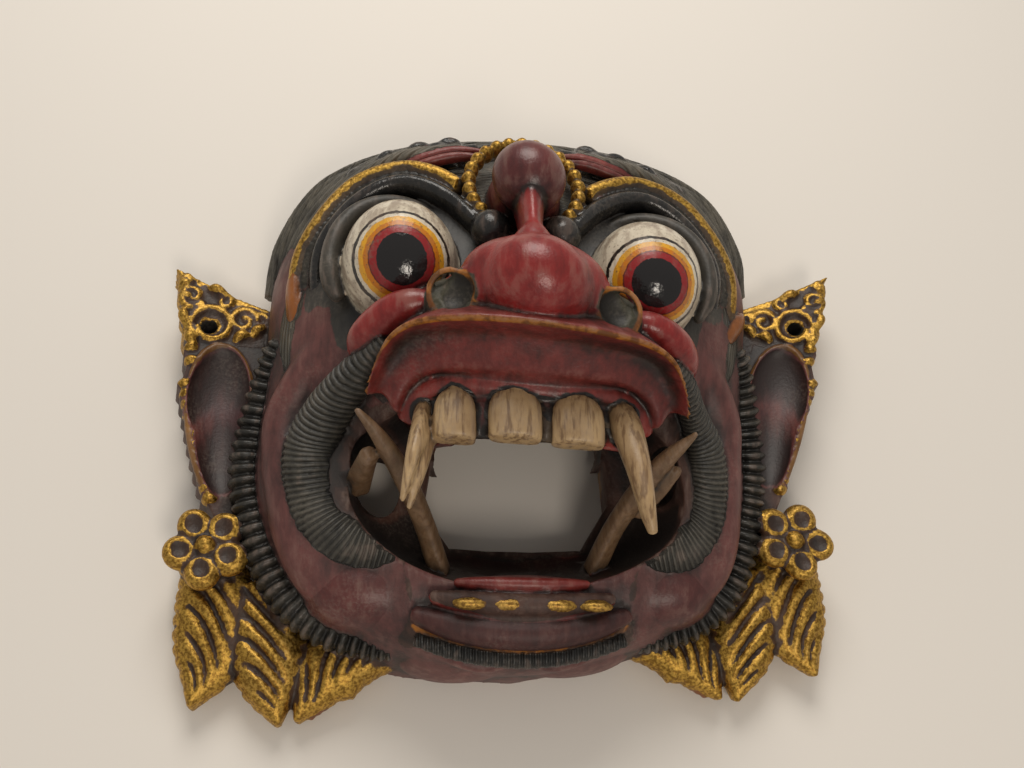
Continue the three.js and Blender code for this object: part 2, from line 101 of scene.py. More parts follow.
def srgb(code):
    """Turns a colour such as "a05030" into the linear values that shaders use."""
    values = [int(code[i:i + 2], 16) / 255.0 for i in (0, 2, 4)]
    return tuple(v / 12.92 if v <= 0.04045 else ((v + 0.055) / 1.055) ** 2.4 for v in values) + (1.0,)


def area_light(name, place, aim, size, power, colour):
    data = bpy.data.lights.new(name, "AREA")
    data.shape = "DISK"
    data.size = size
    data.energy = power
    data.color = srgb(colour)[:3]
    light = bpy.data.objects.new(name, data)
    bpy.context.collection.objects.link(light)
    light.location = place
    light.rotation_euler = (Vector(aim) - Vector(place)).to_track_quat("-Z", "Y").to_euler()


def photo_camera():
    """A camera turned by the elevation, yaw and roll of the photograph."""
    back = Vector((
        math.sin(CAMERA_YAW) * math.cos(CAMERA_ELEVATION),
        -math.cos(CAMERA_YAW) * math.cos(CAMERA_ELEVATION),
        math.sin(CAMERA_ELEVATION),
    ))
    level = (-back).cross(Vector((0, 0, 1))).normalized()
    upright = level.cross(-back)
    right = math.cos(CAMERA_ROLL) * level + math.sin(CAMERA_ROLL) * upright
    top = -math.sin(CAMERA_ROLL) * level + math.cos(CAMERA_ROLL) * upright
    data = bpy.data.cameras.new("photo_camera")
    data.sensor_width = SENSOR_MM
    data.lens = SENSOR_MM * FOCAL_PIXELS / PHOTO_WIDTH
    camera = bpy.data.objects.new("photo_camera", data)
    bpy.context.collection.objects.link(camera)
    turned = Matrix((right, top, back)).transposed().to_4x4()
    camera.matrix_world = Matrix.Translation(Vector(CAMERA_AT) * MM) @ turned
    bpy.context.scene.camera = camera


def pale_table():
    bpy.ops.object.select_all(action="DESELECT")
    bpy.ops.mesh.primitive_plane_add(size=6.0)
    table = bpy.context.object
    table.name = "table"
    material = bpy.data.materials.new("painted_table_top")
    material.use_nodes = True
    shader = material.node_tree.nodes["Principled BSDF"]
    shader.inputs["Base Color"].default_value = srgb("e6e0d8")
    shader.inputs["Roughness"].default_value = 0.75
    table.data.materials.append(material)


def grey_world():
    world = bpy.data.worlds.new("soft_room")
    world.use_nodes = True
    world.node_tree.nodes["Background"].inputs["Color"].default_value = srgb("f2eee8")
    world.node_tree.nodes["Background"].inputs["Strength"].default_value = 0.42
    bpy.context.scene.world = world


photo_camera()
pale_table()
grey_world()
area_light("window", (-0.05, 0.55, 0.62), (0, 0, 0.04), 0.5, 3.8, "fffaf2")
area_light("room_lamp", (0.08, -0.5, 0.66), (0, 0, 0.04), 0.2, 1.5, "fff4e6")
bpy.context.scene.view_settings.view_transform = "Standard"
print("the camera stands", round(Vector(CAMERA_AT).length), "mm from the middle of the back rim")

# %% [markdown]
# Two kinds of form make nearly the whole face. A lump is a rounded mass, such as an eyeball or a
# petal, and a strand is a tapering roll laid along a path, such as a tusk, a brow or a leaf. Both
# start as Blender's own sphere. A strand bends that sphere along its path: each ring of the sphere
# becomes one slice of the roll, which may be grooved as it is laid.

# %% Lumps and strands
clay = []


def keep(paint):
    """Remembers the new form and the paint that it will carry."""
    form = bpy.context.object
    form["paint"] = paint
    clay.append(form)
    return form


def mirror_of(form):
    """The same form on the other side of the face."""
    other = form.copy()
    other.data = form.data.copy()
    other.data.transform(Matrix.Scale(-1, 4, (1, 0, 0)))
    other.data.flip_normals()
    bpy.context.collection.objects.link(other)
    clay.append(other)
    return other


def lump(paint, middle, half, turn=(0, 0, 0), rings=20, both=False):
    bpy.ops.object.select_all(action="DESELECT")
    bpy.ops.mesh.primitive_uv_sphere_add(
        segments=rings * 2, ring_count=rings, radius=1.0, location=middle,
        rotation=[math.radians(a) for a in turn], scale=half)
    bpy.ops.object.transform_apply(location=True, rotation=True, scale=True)
    form = keep(paint)
    return [form, mirror_of(form)] if both else [form]


def smooth_path(stops, places):
    """Points of a Catmull-Rom curve through the stops, at places from 0 to 1."""
    stops = np.array(stops, float)
    padded = np.vstack([2 * stops[0] - stops[1], stops, 2 * stops[-1] - stops[-2]])
    along = np.clip(places, 0, 1) * (len(stops) - 1)
    i = np.minimum(along.astype(int), len(stops) - 2)
    t = (along - i)[:, None]
    a, b, c, d = padded[i], padded[i + 1], padded[i + 2], padded[i + 3]
    square = (2 * a - 5 * b + 4 * c - d) * t ** 2
    cube = (3 * b - a - 3 * c + d) * t ** 3
    return 0.5 * (2 * b + (c - a) * t + square + cube)


def slices(stops, places, up):
    """The middle, side and rise of each slice of a strand."""
    middle = smooth_path(stops, places)
    ahead = smooth_path(stops, np.clip(places + 0.004, 0, 1))
    behind = smooth_path(stops, np.clip(places - 0.004, 0, 1))
    way = (ahead - behind)[:, :3]
    way /= np.linalg.norm(way, axis=1, keepdims=True)
    side = np.cross(way, np.array(up, float))
    side /= np.linalg.norm(side, axis=1, keepdims=True)
    return middle, side, np.cross(side, way)


def strand(paint, stops, rings=40, sides=20, up=(0, 0, 1), carve=None, blunt=0.0, both=False):
    """Lays a roll along the stops, each [x, y, z, half width, half height].
    carve gives the size at a place along the roll and an angle round it, as a share.
    blunt rounds the ends over that share of the length."""
    bpy.ops.object.select_all(action="DESELECT")
    bpy.ops.mesh.primitive_uv_sphere_add(segments=sides, ring_count=rings, radius=1.0)
    form = keep(paint)
    corners = np.empty(len(form.data.vertices) * 3)
    form.data.vertices.foreach_get("co", corners)
    corners = corners.reshape(-1, 3)
    place = np.arccos(np.clip(corners[:, 2], -1, 1)) / math.pi
    angle = np.arctan2(corners[:, 1], corners[:, 0])
    middle, side, rise = slices(stops, place, up)
    size = np.ones(len(place)) if carve is None else carve(place, angle)
    if blunt:
        end = np.clip(np.minimum(place, 1 - place) / blunt, 0, 1)
        size = size * np.sqrt(1 - (1 - end) ** 2)
    size = np.where((place < 1e-4) | (place > 1 - 1e-4), 0.0, size)
    corners = (middle[:, :3] + side * (middle[:, 3] * size * np.cos(angle))[:, None]
               + rise * (middle[:, 4] * size * np.sin(angle))[:, None])
    form.data.vertices.foreach_set("co", corners.ravel())
    form.data.update()
    return [form, mirror_of(form)] if both else [form]


def rings_of(count, depth, skew=0.0):
    """A groove round the roll at even steps. skew bends each groove across the top into an arc."""
    def carve(place, angle):
        wave = np.cos(2 * math.pi * (count * place + skew * np.cos(angle) ** 2))
        return 1 - depth * (0.5 + 0.5 * wave) ** 1.5
    return carve


def locks_of(count, depth, wander=0.0):
    """Grooves along the roll, as brushed hair has."""
    def carve(place, angle):
        wave = np.cos(count * (angle + wander * np.sin(5 * place)))
        return 1 - depth * (0.5 + 0.5 * wave) ** 1.5
    return carve


print("lump and strand are ready")

# %% [markdown]
# Boards and skins. An ear is sawn to an outline and so starts as a filled circle whose rim is moved
# to that outline and extruded. The cheeks' dome and the hollow behind them are skins drawn through
# stacked rings, made of a cylinder whose rings are moved to the edge of the face.

# %% Boards and domes
EDGE_STOPS = [
    (0, CROWN_Y), (0.52, 0.95 * CROWN_Y), (0.8, 0.82 * CROWN_Y), (1, 0.5 * CROWN_Y),
    (0.97, 0), (0.95, 0.4 * CHIN_Y), (0.8, 0.72 * CHIN_Y), (0.5, 0.93 * CHIN_Y), (0, CHIN_Y),
]


def move_corners(form, corners):
    form.data.vertices.foreach_set("co", np.asarray(corners, float).ravel())
    form.data.update()


def board(paint, outline, back, front):
    """A board of even thickness, sawn to an outline."""
    bpy.ops.object.select_all(action="DESELECT")
    bpy.ops.mesh.primitive_circle_add(vertices=len(outline), radius=1.0, fill_type="NGON")
    form = keep(paint)
    move_corners(form, [(x, y, back) for x, y in outline])
    bpy.ops.object.mode_set(mode="EDIT")
    bpy.ops.mesh.select_all(action="SELECT")
    bpy.ops.mesh.extrude_region_move(TRANSFORM_OT_translate={"value": (0, 0, front - back)})
    bpy.ops.mesh.select_all(action="SELECT")
    bpy.ops.mesh.normals_make_consistent(inside=False)
    bpy.ops.object.mode_set(mode="OBJECT")
    return form


def skin(paint, layers):
    """A closed skin through stacked rings of as many points each."""
    count = len(layers[0])
    bpy.ops.object.select_all(action="DESELECT")
    bpy.ops.mesh.primitive_circle_add(vertices=count, radius=1.0, fill_type="NGON")
    form = keep(paint)
    bpy.ops.object.mode_set(mode="EDIT")
    for _ in layers[1:]:
        bpy.ops.mesh.select_mode(type="FACE")
        bpy.ops.mesh.extrude_region_move(TRANSFORM_OT_translate={"value": (0, 0, 1)})
    bpy.ops.object.mode_set(mode="OBJECT")
    corners = np.empty(len(form.data.vertices) * 3)
    form.data.vertices.foreach_get("co", corners)
    corners = corners.reshape(-1, 3)
    turn = np.mod(np.arctan2(corners[:, 0], corners[:, 1]), 2 * math.pi)
    spot = np.round(turn / (2 * math.pi) * count).astype(int) % count
    level = np.round(corners[:, 2]).astype(int)
    move_corners(form, np.array(layers, float)[level, spot])
    bpy.ops.object.mode_set(mode="EDIT")
    bpy.ops.mesh.select_all(action="SELECT")
    bpy.ops.mesh.normals_make_consistent(inside=False)
    bpy.ops.object.mode_set(mode="OBJECT")
    return form


def edge_of_face(count):
    """Points round the back edge of the face, clockwise from the crown."""
    share = smooth_path(EDGE_STOPS, np.linspace(0, 1, 400))
    half = share * (CHEEK_HALF, 1)
    run = np.concatenate([[0], np.cumsum(np.linalg.norm(np.diff(half, axis=0), axis=1))])
    even = np.linspace(0, run[-1], count // 2 + 1)
    right = np.column_stack([np.interp(even, run, half[:, 0]), np.interp(even, run, half[:, 1])])
    left = right[1:-1][::-1] * (-1, 1)
    return np.vstack([right, left])


def dome(paint, inset, foot, height_at, fullness, count=120, rings=24):
    middle = np.array((0.0, 4.0))
    out = edge_of_face(count) - middle
    reach = np.linalg.norm(out, axis=1, keepdims=True)
    layers = [np.column_stack([middle + out * (1 - inset / reach), np.full(count, foot)])]
    for ring in range(rings + 1):
        turn = ring / rings * math.pi / 2
        share = max(0.03, math.cos(turn) ** (2 / fullness))
        flat = middle + out * share * (1 - inset / reach)
        rise = math.sin(turn) ** (2 / fullness) * height_at(flat[:, 1]) * np.ones(count)
        layers.append(np.column_stack([flat, rise]))
    return skin(paint, layers)


print("boards and domes are ready")

# %% [markdown]
# Fusing. A real carving has no seams, so the lumps and strands are joined and run through a voxel
# Remesh, which keeps only their outer surface. Where two forms should melt into each other, as the
# nose does into its bridge, the seam is rubbed down afterwards. The mouth and the hollow behind are
# then cut with Booleans, which leave the crisp arris that a gouge leaves.

# %% Fuse and cut
VOXEL = 0.68


def take_clay():
    taken = list(clay)
    clay.clear()
    return taken


marks = {"corners": [], "faces": [], "paint": []}


def remember_paint(forms):
    """Notes the surface of the forms, with its paint, for the painting later."""
    for form in forms:
        first = len(marks["corners"])
        marks["corners"] += [tuple(v.co) for v in form.data.vertices]
        for polygon in form.data.polygons:
            marks["faces"].append([first + i for i in polygon.vertices])
            marks["paint"].append(form["paint"])


def join(name, forms):
    remember_paint(forms)
    bpy.ops.object.select_all(action="DESELECT")
    for form in forms:
        form.select_set(True)
    bpy.context.view_layer.objects.active = forms[0]
    if len(forms) > 1:
        bpy.ops.object.join()
    whole = bpy.context.object
    whole.name = name
    return whole


def apply_modifier(form, kind, **settings):
    modifier = form.modifiers.new(kind.lower(), kind)
    for name, value in settings.items():
        setattr(modifier, name, value)
    bpy.ops.object.select_all(action="DESELECT")
    form.select_set(True)
    bpy.context.view_layer.objects.active = form
    bpy.ops.object.modifier_apply(modifier=modifier.name)


def fuse(name, forms, voxel=VOXEL):
    whole = join(name, forms)
    apply_modifier(whole, "REMESH", mode="VOXEL", voxel_size=voxel)
    print(name, "fused from", len(forms), "forms into", len(whole.data.polygons), "faces")
    return whole


def soften_seams(form, middle, half, rounds):
    """Sands the seams between forms inside an ellipsoid, as a carver rubs the wood down."""
    group = form.vertex_groups.new(name="sanded")
    spots = np.empty(len(form.data.vertices) * 3)
    form.data.vertices.foreach_get("co", spots)
    reach = np.linalg.norm((spots.reshape(-1, 3) - middle) / half, axis=1)
    for share in (0.25, 0.5, 0.75, 1.0):
        inside = np.nonzero(reach < 1.25 - 0.25 * share)[0]
        group.add([int(i) for i in inside], share, "REPLACE")
    apply_modifier(form, "SMOOTH", factor=0.5, iterations=rounds, vertex_group="sanded")
    form.vertex_groups.clear()


def cut(whole, forms):
    """Cuts away forms that are each one closed skin."""
    remember_paint(forms)
    for form in forms:
        apply_modifier(whole, "BOOLEAN", operation="DIFFERENCE", solver="MANIFOLD", object=form)
        bpy.data.objects.remove(form)
    print(whole.name, "cut by", len(forms), "forms:", len(whole.data.polygons), "faces")


def add_to(whole, form):
    apply_modifier(whole, "BOOLEAN", operation="UNION", solver="MANIFOLD", object=form)
    bpy.data.objects.remove(form)
    print(whole.name, "with the new forms:", len(whole.data.polygons), "faces")


# %% [markdown]
# The head. The dome of the cheeks rises straight from the back rim, a broad mound carries the brow,
# and a roll of brushed hair runs round the crown, with curls on it.

# %% Head and hair
def spiral(middle, start, turns, first, last, width):
    """Stops of a curl that winds in from its first to its last radius."""
    x, y, z = middle
    stops = []
    count = max(5, round(abs(turns) * 8))
    for i in range(count + 1):
        t = i / count
        angle = math.radians(start) + turns * 2 * math.pi * t
        reach = first + (last - first) * t
        spot = [x + reach * math.cos(angle), y + reach * math.sin(angle), z]
        stops.append(spot + [width * (1 - 0.4 * t), width])
    return stops


def head():
    dome("mauve", 0, 0, lambda y: FACE_DEPTH, 5)
    lump("hair", (0, 25, 30), (85, 75, 40), rings=36)
    strand("hair", [
        [88, 50, 12, 7, 12], [84, 66, 20, 8, 12], [70, 83, 29, 9, 12],
        [46, 92, 35, 9, 12], [22, 95, 38, 9, 12], [-4, 96, 40, 9, 10],
    ], rings=80, sides=64, carve=locks_of(16, 0.12, 0.5), both=True)
    for reach in (0, 6, 12):
        strand("hair", [
            [85 + reach / 4, 44, 28 - reach / 2, 2, 3],
            [79 + reach / 3, 60 + reach / 2, 36 - reach / 2, 3, 3.4],
            [64 + reach / 3, 76 + reach / 2, 46 - reach / 2, 3, 3.4],
            [44, 86 + reach / 2, 53 - reach / 2, 3, 3.4],
            [20, 90 + reach / 2, 56 - reach / 2, 2, 3],
        ], rings=50, sides=12, both=True)
    for x, y, z in ((58, 82, 45), (47, 87, 49), (36, 90, 51), (25, 92, 52)):
        strand("black", spiral((x, y, z), 200, 1.2, 6, 1.6, 2.8), rings=40, sides=12, both=True)
    strand("black", [
        [64, 78, 44, 1.5, 2], [57, 85, 46, 3, 3], [51, 83, 50, 3, 3], [44, 89, 50, 3, 3],
        [38, 86, 53, 3, 3], [31, 92, 52, 3, 3], [24, 89, 55, 3, 3], [15, 94, 52, 1.5, 2],
    ], rings=80, sides=14, both=True)
    for back, drop in ((0, 0), (5, 3)):
        strand("lip", [[13, 82 + back, 62 - drop, 1, 1.4], [24, 83 + back, 60 - drop, 1.8, 2.4],
                       [36, 80 + back, 58 - drop, 1.8, 2.4], [46, 76 + back, 55 - drop, 1, 1.4]],
               rings=30, sides=10, both=True)


head()
print(len(clay), "forms for the head")

# %% [markdown]
# The eyes bulge as half balls. A heavy glossy lid arches over each, then a dark toothed band, and
# outside them the gilded brow, which ends in a small orange teardrop at the temple.

# %% Eyes and brows
EYE_AT = (42.0, 31.0, 66.0)
EYE_HALF = (19.5, 21.5, 22.5)
LID_GAP = 4.0


def eyes():
    lump("eye", EYE_AT, EYE_HALF, rings=40, both=True)
    x, y, z = EYE_AT
    lid = []
    for angle in range(-35, 221, 20):
        turn = math.radians(angle)
        end = 0.45 if angle < -30 or angle > 200 else 1
        fall = 8 - 6 * math.cos(turn) - 3 * math.sin(turn)
        out = (EYE_HALF[0] + LID_GAP) * math.cos(turn)
        up = (EYE_HALF[1] + LID_GAP) * math.sin(turn)
        lid.append([x + out, y + 2 + up, z - fall, 3.4 * end, 5 * end])
    strand("lid", lid, rings=90, sides=20, both=True)
    strand("black", [
        [70, 26, 46, 2, 3], [71, 36, 50, 3, 5], [69, 46, 54, 3.4, 5], [62, 57, 57, 3.4, 5],
        [53, 64, 60, 3.4, 5], [44, 67, 62, 3.4, 5], [35, 65, 64, 3.4, 5], [26, 59, 66, 3.4, 5],
        [19, 50, 69, 3, 5], [14, 42, 71, 2, 4],
    ], rings=90, sides=20, both=True)
    strand("brow", [
        [74, 26, 42, 2, 4], [75, 37, 46, 2.6, 4.6], [73, 48, 49, 2.6, 4.6], [66, 59, 52, 2.6, 4.6],
        [57, 67, 55, 2.6, 4.6], [47, 71, 58, 2.6, 4.6], [37, 70, 61, 2.6, 4.6], [26, 64, 64, 2.6, 4],
    ], rings=320, sides=14, carve=rings_of(44, 0.3), both=True)
    strand("old_gold", [
        [77, 20, 39, 2.5, 4], [78, 30, 41, 3.2, 5], [78.5, 38, 44, 3.4, 5], [77, 47, 47, 3.4, 5],
        [71, 58, 51, 3.4, 5], [62, 69, 54, 3.4, 5], [52, 74, 57, 3.4, 5], [41, 75, 60, 3.4, 5],
        [31, 71, 63, 3.4, 5], [22, 65, 66, 3, 4],
    ], rings=110, sides=20, both=True)
    strand("orange", [
        [-79.5, 44, 44, 1.5, 5], [-79, 34, 43, 3.4, 6], [-77.5, 24, 42, 3, 5], [-76, 17, 41, 1, 2],
    ], rings=30, sides=16)
    strand("orange", [[72, 14, 42, 2, 3], [76, 20, 42, 3.6, 5], [82, 28, 39, 3.4, 5], [85, 33, 36, 1.6, 3]],
           rings=30, sides=16)


eyes()
print(len(clay), "forms with the eyes and the brows")

# %% [markdown]
# The jewel on the forehead is a ball on a short stem that runs down into the nose. A collar of
# gilded beads stands behind it, and a dark ball sits on each side.

# %% Forehead jewel
KNOB_AT = (0.0, 57.0, 86.0)
KNOB_RADIUS = 12.5


def jewel():
    lump("knob", KNOB_AT, (KNOB_RADIUS,) * 3, rings=28)
    strand("knob", [[0, 66, 56, 12, 12], [0, 60, 68, 13, 13], [0, 57, 78, 10, 10], [0, 56, 84, 4, 4]],
           rings=24, sides=32, up=(0, 1, 0))
    for i in range(19):
        turn = math.radians(-38 + 256 * i / 18)
        bead = (19.5 * math.cos(turn), 65 + 21 * math.sin(turn), 69 - 4 * math.sin(turn))
        lump("old_gold", bead, (2.7, 2.7, 4.2), rings=10)
    lump("black", (12, 43, 74), (7, 7, 7), both=True)


jewel()
print(len(clay), "forms with the jewel")

# %% [markdown]
# The cheeks. A smooth roll runs down from the eye round the mouth to a bulb near the chin. Inside it
# lie the whiskers, combed in short arcs, and outside it the beard, a row of tight coils.

# %% Cheeks, whiskers and beard coils
CHEEK_PATH = [
    [60, 14, 52, 3, 4], [68, 5, 44, 7, 8], [75.5, -10, 36, 8, 9], [75.5, -24, 34, 8, 9],
    [73.5, -38, 34, 8, 9], [70, -51, 34, 9, 9], [63, -62, 33, 11, 10], [53, -69, 31, 12, 11],
]
WHISKER_PATH = [
    [44, -4, 78, 4, 5], [53, -9, 66, 6, 6], [61, -15, 54, 7, 6], [67, -25, 45, 8, 6], [67, -38, 42, 8, 6],
    [63, -50, 41, 8, 6], [54, -58, 42, 8, 6], [44, -60, 42, 6.5, 6], [34, -62, 40, 3, 3.5],
]
COIL_RADIUS = 6.5
COIL_RINGS = 34
WHISKER_RIBS = 56
COIL_PATH = [
    (82, 20, 34), (86, 8, 28), (89, -8, 24), (90, -24, 23), (87, -40, 22),
    (82, -56, 22), (74, -70, 22), (63, -79, 22), (50, -83, 22), (40, -84, 22),
]


def cheeks():
    strand("mauve", CHEEK_PATH, rings=70, sides=32, both=True)
    lump("bulb", (50, -70.5, 29), (19, 13, 15), (0, 0, 8), rings=28, both=True)
    for slip in (0, 5):
        strand("brown", [
            [42 - slip, -58, 43, 0.8, 1], [38 - slip, -65, 43, 1.7, 2.2],
            [36 - slip, -73, 42, 1.7, 2.2], [36 - slip, -80, 40, 0.8, 1],
        ], rings=30, sides=12, both=True)
    strand("whisker", WHISKER_PATH, rings=560, sides=32, carve=rings_of(WHISKER_RIBS, 0.22, 0.7), both=True)
    strand("coil", [[*stop, COIL_RADIUS, COIL_RADIUS] for stop in COIL_PATH], rings=340, sides=24,
           carve=rings_of(COIL_RINGS, 0.36, 0.2), blunt=0.03, both=True)


cheeks()
print(len(clay), "forms with the cheeks,", WHISKER_RIBS, "whisker ribs and", COIL_RINGS, "coils a side")

# %% [markdown]
# The ears are boards that tilt outward, with a lobed outer edge, a hollow like an almond in the
# middle and gilded scrolls near the tip.

# %% Ears
EAR_THICK = 11.0
EAR_TILT = math.radians(12)
EAR_BACK_Z = 6.0
UPPER_EDGE = ((EAR_SPAN / 2 - 1, 53), (0.93 * EAR_SPAN / 2, 17))
LOWER_EDGE = ((0.945 * EAR_SPAN / 2, 12), (0.82 * EAR_SPAN / 2, -34))


def tilt_ear(form):
    """Lifts the outer edge of the ear, about the line where it leaves the cheek."""
    form.data.transform(
        Matrix.Translation((CHEEK_HALF, 0, EAR_BACK_Z)) @ Matrix.Rotation(-EAR_TILT, 4, "Y")
        @ Matrix.Translation((-CHEEK_HALF, 0, 0)))


def lobed(start, end, count, depth):
    """Points down an edge of round lobes."""
    points = []
    for i in range(count * 8):
        t = i / (count * 8)
        out = depth * (abs(math.sin(math.pi * count * t)) - 1)
        points.append((start[0] + (end[0] - start[0]) * t + out, start[1] + (end[1] - start[1]) * t))
    return points


def ears():
    tip = EAR_SPAN / 2
    outline = [(78, 38), (94, 44), (108, 48), (tip, 57)]
    outline += lobed(*UPPER_EDGE, 4, 2.0)
    outline += lobed(*LOWER_EDGE, 9, 2.2)
    outline += [(100, -44), (84, -40), (80, 0)]
    pieces = [board("ear", outline, 0, EAR_THICK)]
    middle = (105.5, -3)
    ridge = []
    for angle in range(-70, 251, 20):
        turn = math.radians(angle)
        wide = 10.6 + 3 * math.sin(turn)
        ridge.append([middle[0] + wide * math.cos(turn) + 3.4 * math.sin(turn),
                      middle[1] + 29.5 * math.sin(turn), EAR_THICK, 1.1, 1.5])
    pieces += strand("ochre", ridge, rings=90, sides=12)
    top = EAR_THICK
    for x, y, start, turns, first, last, width in (
            (114, 34.5, -60, 1.15, 8, 5.2, 1.9), (122.5, 45.5, 200, 1.3, 5, 1.2, 1.6),
            (103, 37.5, 180, -1.3, 5.5, 1.3, 1.7), (96.5, 38.5, 0, 1.1, 3.4, 1, 1.4),
            (110.5, 45, 30, 1.2, 3, 1, 1.3), (126, 52, 90, 1.1, 2.4, 0.8, 1.2)):
        pieces += strand("gold", spiral((x, y, top), start, turns, first, last, width), rings=60, sides=10)
    for x, y, dx, dy in (
            (125, 40, -3, -8), (122, 30, -4, -5), (105, 29, -6, 3), (99, 31, -5, 5), (117, 50, -8, -3)):
        pieces += strand("gold", [
            [x, y, top, 0.8, 1.2], [x + dx / 2 + 1, y + dy / 2 + 1, top + 0.5, 2, 2.4],
            [x + dx, y + dy, top, 0.8, 1.2],
        ], rings=20, sides=10)
    for ((x0, y0), (x1, y1)), count in ((UPPER_EDGE, 7), (LOWER_EDGE, 12)):
        for i in range(count):
            t = (i + 0.5) / count
            at = (x0 + (x1 - x0) * t - 2.8, y0 + (y1 - y0) * t, top - 1.5)
            pieces += lump("old_gold", at, (2.7, 2.0, 3.8), rings=10)
    for piece in pieces:
        tilt_ear(piece)
        mirror_of(piece)


ears()
print(len(clay), "forms with the ears")

# %% [markdown]
# Below each ear hangs a five-petalled flower, and below the flower three leaves spread towards the
# chin. Each leaf has a midrib and slanting veins, so its edge is toothed where the veins run out.

# %% Flowers and leaves
FLOWER_AT = (101.5, -52.0, 22.0)
PETALS = 5
PETAL_REACH = 8.2


def veins(count, depth, sweep):
    """Short curved gouges that sweep across a leaf, and small notches at its edge."""
    def carve(place, angle):
        across = np.cos(angle)
        vein = 0.5 + 0.5 * np.cos(2 * math.pi * (count * place - sweep * (across + 1) ** 1.5))
        inside = np.exp(-((across + 0.08) / 0.52) ** 4)
        notch = 0.5 + 0.5 * np.cos(2 * math.pi * count * 1.7 * place)
        return 1 - depth * vein ** 4 * inside - 0.09 * notch ** 3 * np.abs(across) ** 4
    return carve


def beads(paint, stops, count, half):
    """A row of small beads along a path."""
    for x, y, z in smooth_path(stops, (np.arange(count) + 0.5) / count):
        lump(paint, (x, y, z), half, rings=8, both=True)


def petals():
    """The turn and the middle of each petal of the right-hand flower."""
    x, y, z = FLOWER_AT
    for petal in range(PETALS):
        turn = math.radians(62 + petal * 360 / PETALS)
        at = (x + PETAL_REACH * math.cos(turn), y + PETAL_REACH * math.sin(turn), z + 2)
        yield math.degrees(turn), at


def flowers_and_leaves():
    x, y, z = FLOWER_AT
    lump("gold", (x, y, z - 5), (11, 11, 9), both=True)
    lump("gold", (x, y, z + 4), (3.4, 3.4, 3.6), both=True)
    for turn, at in petals():
        lump("gold", at, (6.4, 6.0, 4.2), (0, -10, turn), rings=20, both=True)
    leaves = [
        [[101.5, -50, 12, 10, 9], [99.5, -66, 11, 14, 9], [101.5, -84, 9, 12, 7], [106.5, -99, 8, 1, 4]],
        [[84.5, -60, 11, 9, 8], [82.5, -76, 10, 13, 9], [80.5, -92, 9, 11, 8], [77.5, -106, 7, 1, 4]],
        [[38, -84, 8, 5, 7], [50, -85, 9, 9, 8], [62, -90, 9, 12, 8], [72, -105, 7, 1, 4]],
    ]
    for leaf in leaves:
        strand("leaf", leaf, rings=170, sides=64, carve=veins(6, 0.4, 1.3), both=True)
    beads("orange", [(41, -87, 10), (50, -91.5, 9), (60, -98, 8), (68, -103, 7)], 11, (1.5, 2.2, 2.4))
    beads("orange", [(97, -92, 9), (94, -84, 11), (91, -77, 12)], 5, (2.2, 1.6, 3))


flowers_and_leaves()
face = fuse("face", take_clay())
for side in (1, -1):
    soften_seams(face, (52 * side, -70, 38), (24, 13, 22), 40)
    soften_seams(face, (68 * side, 4, 46), (15, 18, 22), 40)

# %% [markdown]
# The mouth is a bowl sunk between the cheeks. It is cut before the jaws are set in it.

# %% Bowl of the mouth
lump("brown", (0, -40, 52), (57, 34, 36), rings=32)
cut(face, take_clay())

# %% [markdown]
# The upper jaw juts far out over the mouth. Its lip flares like a shelf, and a smooth hollow band
# runs from the edge of the lip back to the gum. The bulb of the nose sits on it, with two shallow
# nostrils, each ringed by a thin fold.

# %% Nose and upper jaw
NOSE_TIP_Z = 118.0
LIP_HALF = 52.0
LIP_TOP_Z = 107.0
LIP_CORNER_Z = 72.0
GUM_HALF = 41.0
GUM_TOP_Z = 84.0
NOSTRIL_AT = (25.5, 3.0, 96.0)
NOSTRIL_TILT = (math.radians(26), math.radians(14))
NOSTRIL_RADIUS = 7.4


def arch(half, top, corner, y, dip, share):
    """A point of an arch over the mouth, from share -1 at one corner to 1 at the other."""
    turn = share * math.pi / 2
    out = abs(math.sin(turn))
    return np.array((half * math.sin(turn), y + 3 * out ** 2 - (dip + 3) * out ** 10,
                     corner + (top - corner) * math.cos(turn)))


def nose():
    bulb = NOSE_TIP_Z - 20
    lump("red", (0, 7.5, bulb), (18, 15.5, 20), rings=40)
    strand("red", [[-29, 5, bulb - 13, 4, 6], [-18, 7, bulb - 8, 9, 12], [0, 9, bulb - 4, 15, 18],
                   [18, 7, bulb - 8, 9, 12], [29, 5, bulb - 13, 4, 6]], rings=60, sides=40)
    lump("red", (0, 12, bulb - 3), (23, 12, 17), rings=32)
    strand("red", [
        [0, 10, bulb - 10, 14, 14], [0, 22, bulb - 8, 10, 12], [0, 31, bulb - 10, 4.5, 10],
        [0, 42, bulb - 12, 4.5, 10], [0, 54, bulb - 16, 7, 10],
    ], rings=40, sides=32)
    for side in (1, -1):
        bpy.ops.object.select_all(action="DESELECT")
        bpy.ops.mesh.primitive_torus_add(
            major_radius=NOSTRIL_RADIUS, minor_radius=1.05, major_segments=48, minor_segments=20,
            location=(NOSTRIL_AT[0] * side, NOSTRIL_AT[1], NOSTRIL_AT[2]),
            rotation=(NOSTRIL_TILT[0], NOSTRIL_TILT[1] * side, 0))
        bpy.ops.object.transform_apply(location=True, rotation=True, scale=True)
        keep("nostril")
    lump("nostril", (25.5, 3, 90.5), (8.4, 8.4, 6), rings=20, both=True)
    strand("red", [
        [28, 6, 83, 3, 4], [37, 4, 86, 5, 6], [45, 2, 81, 6, 6.5], [52, -1, 73, 5, 5.5],
        [55, -4, 67, 2, 3],
    ], rings=50, sides=24, both=True)


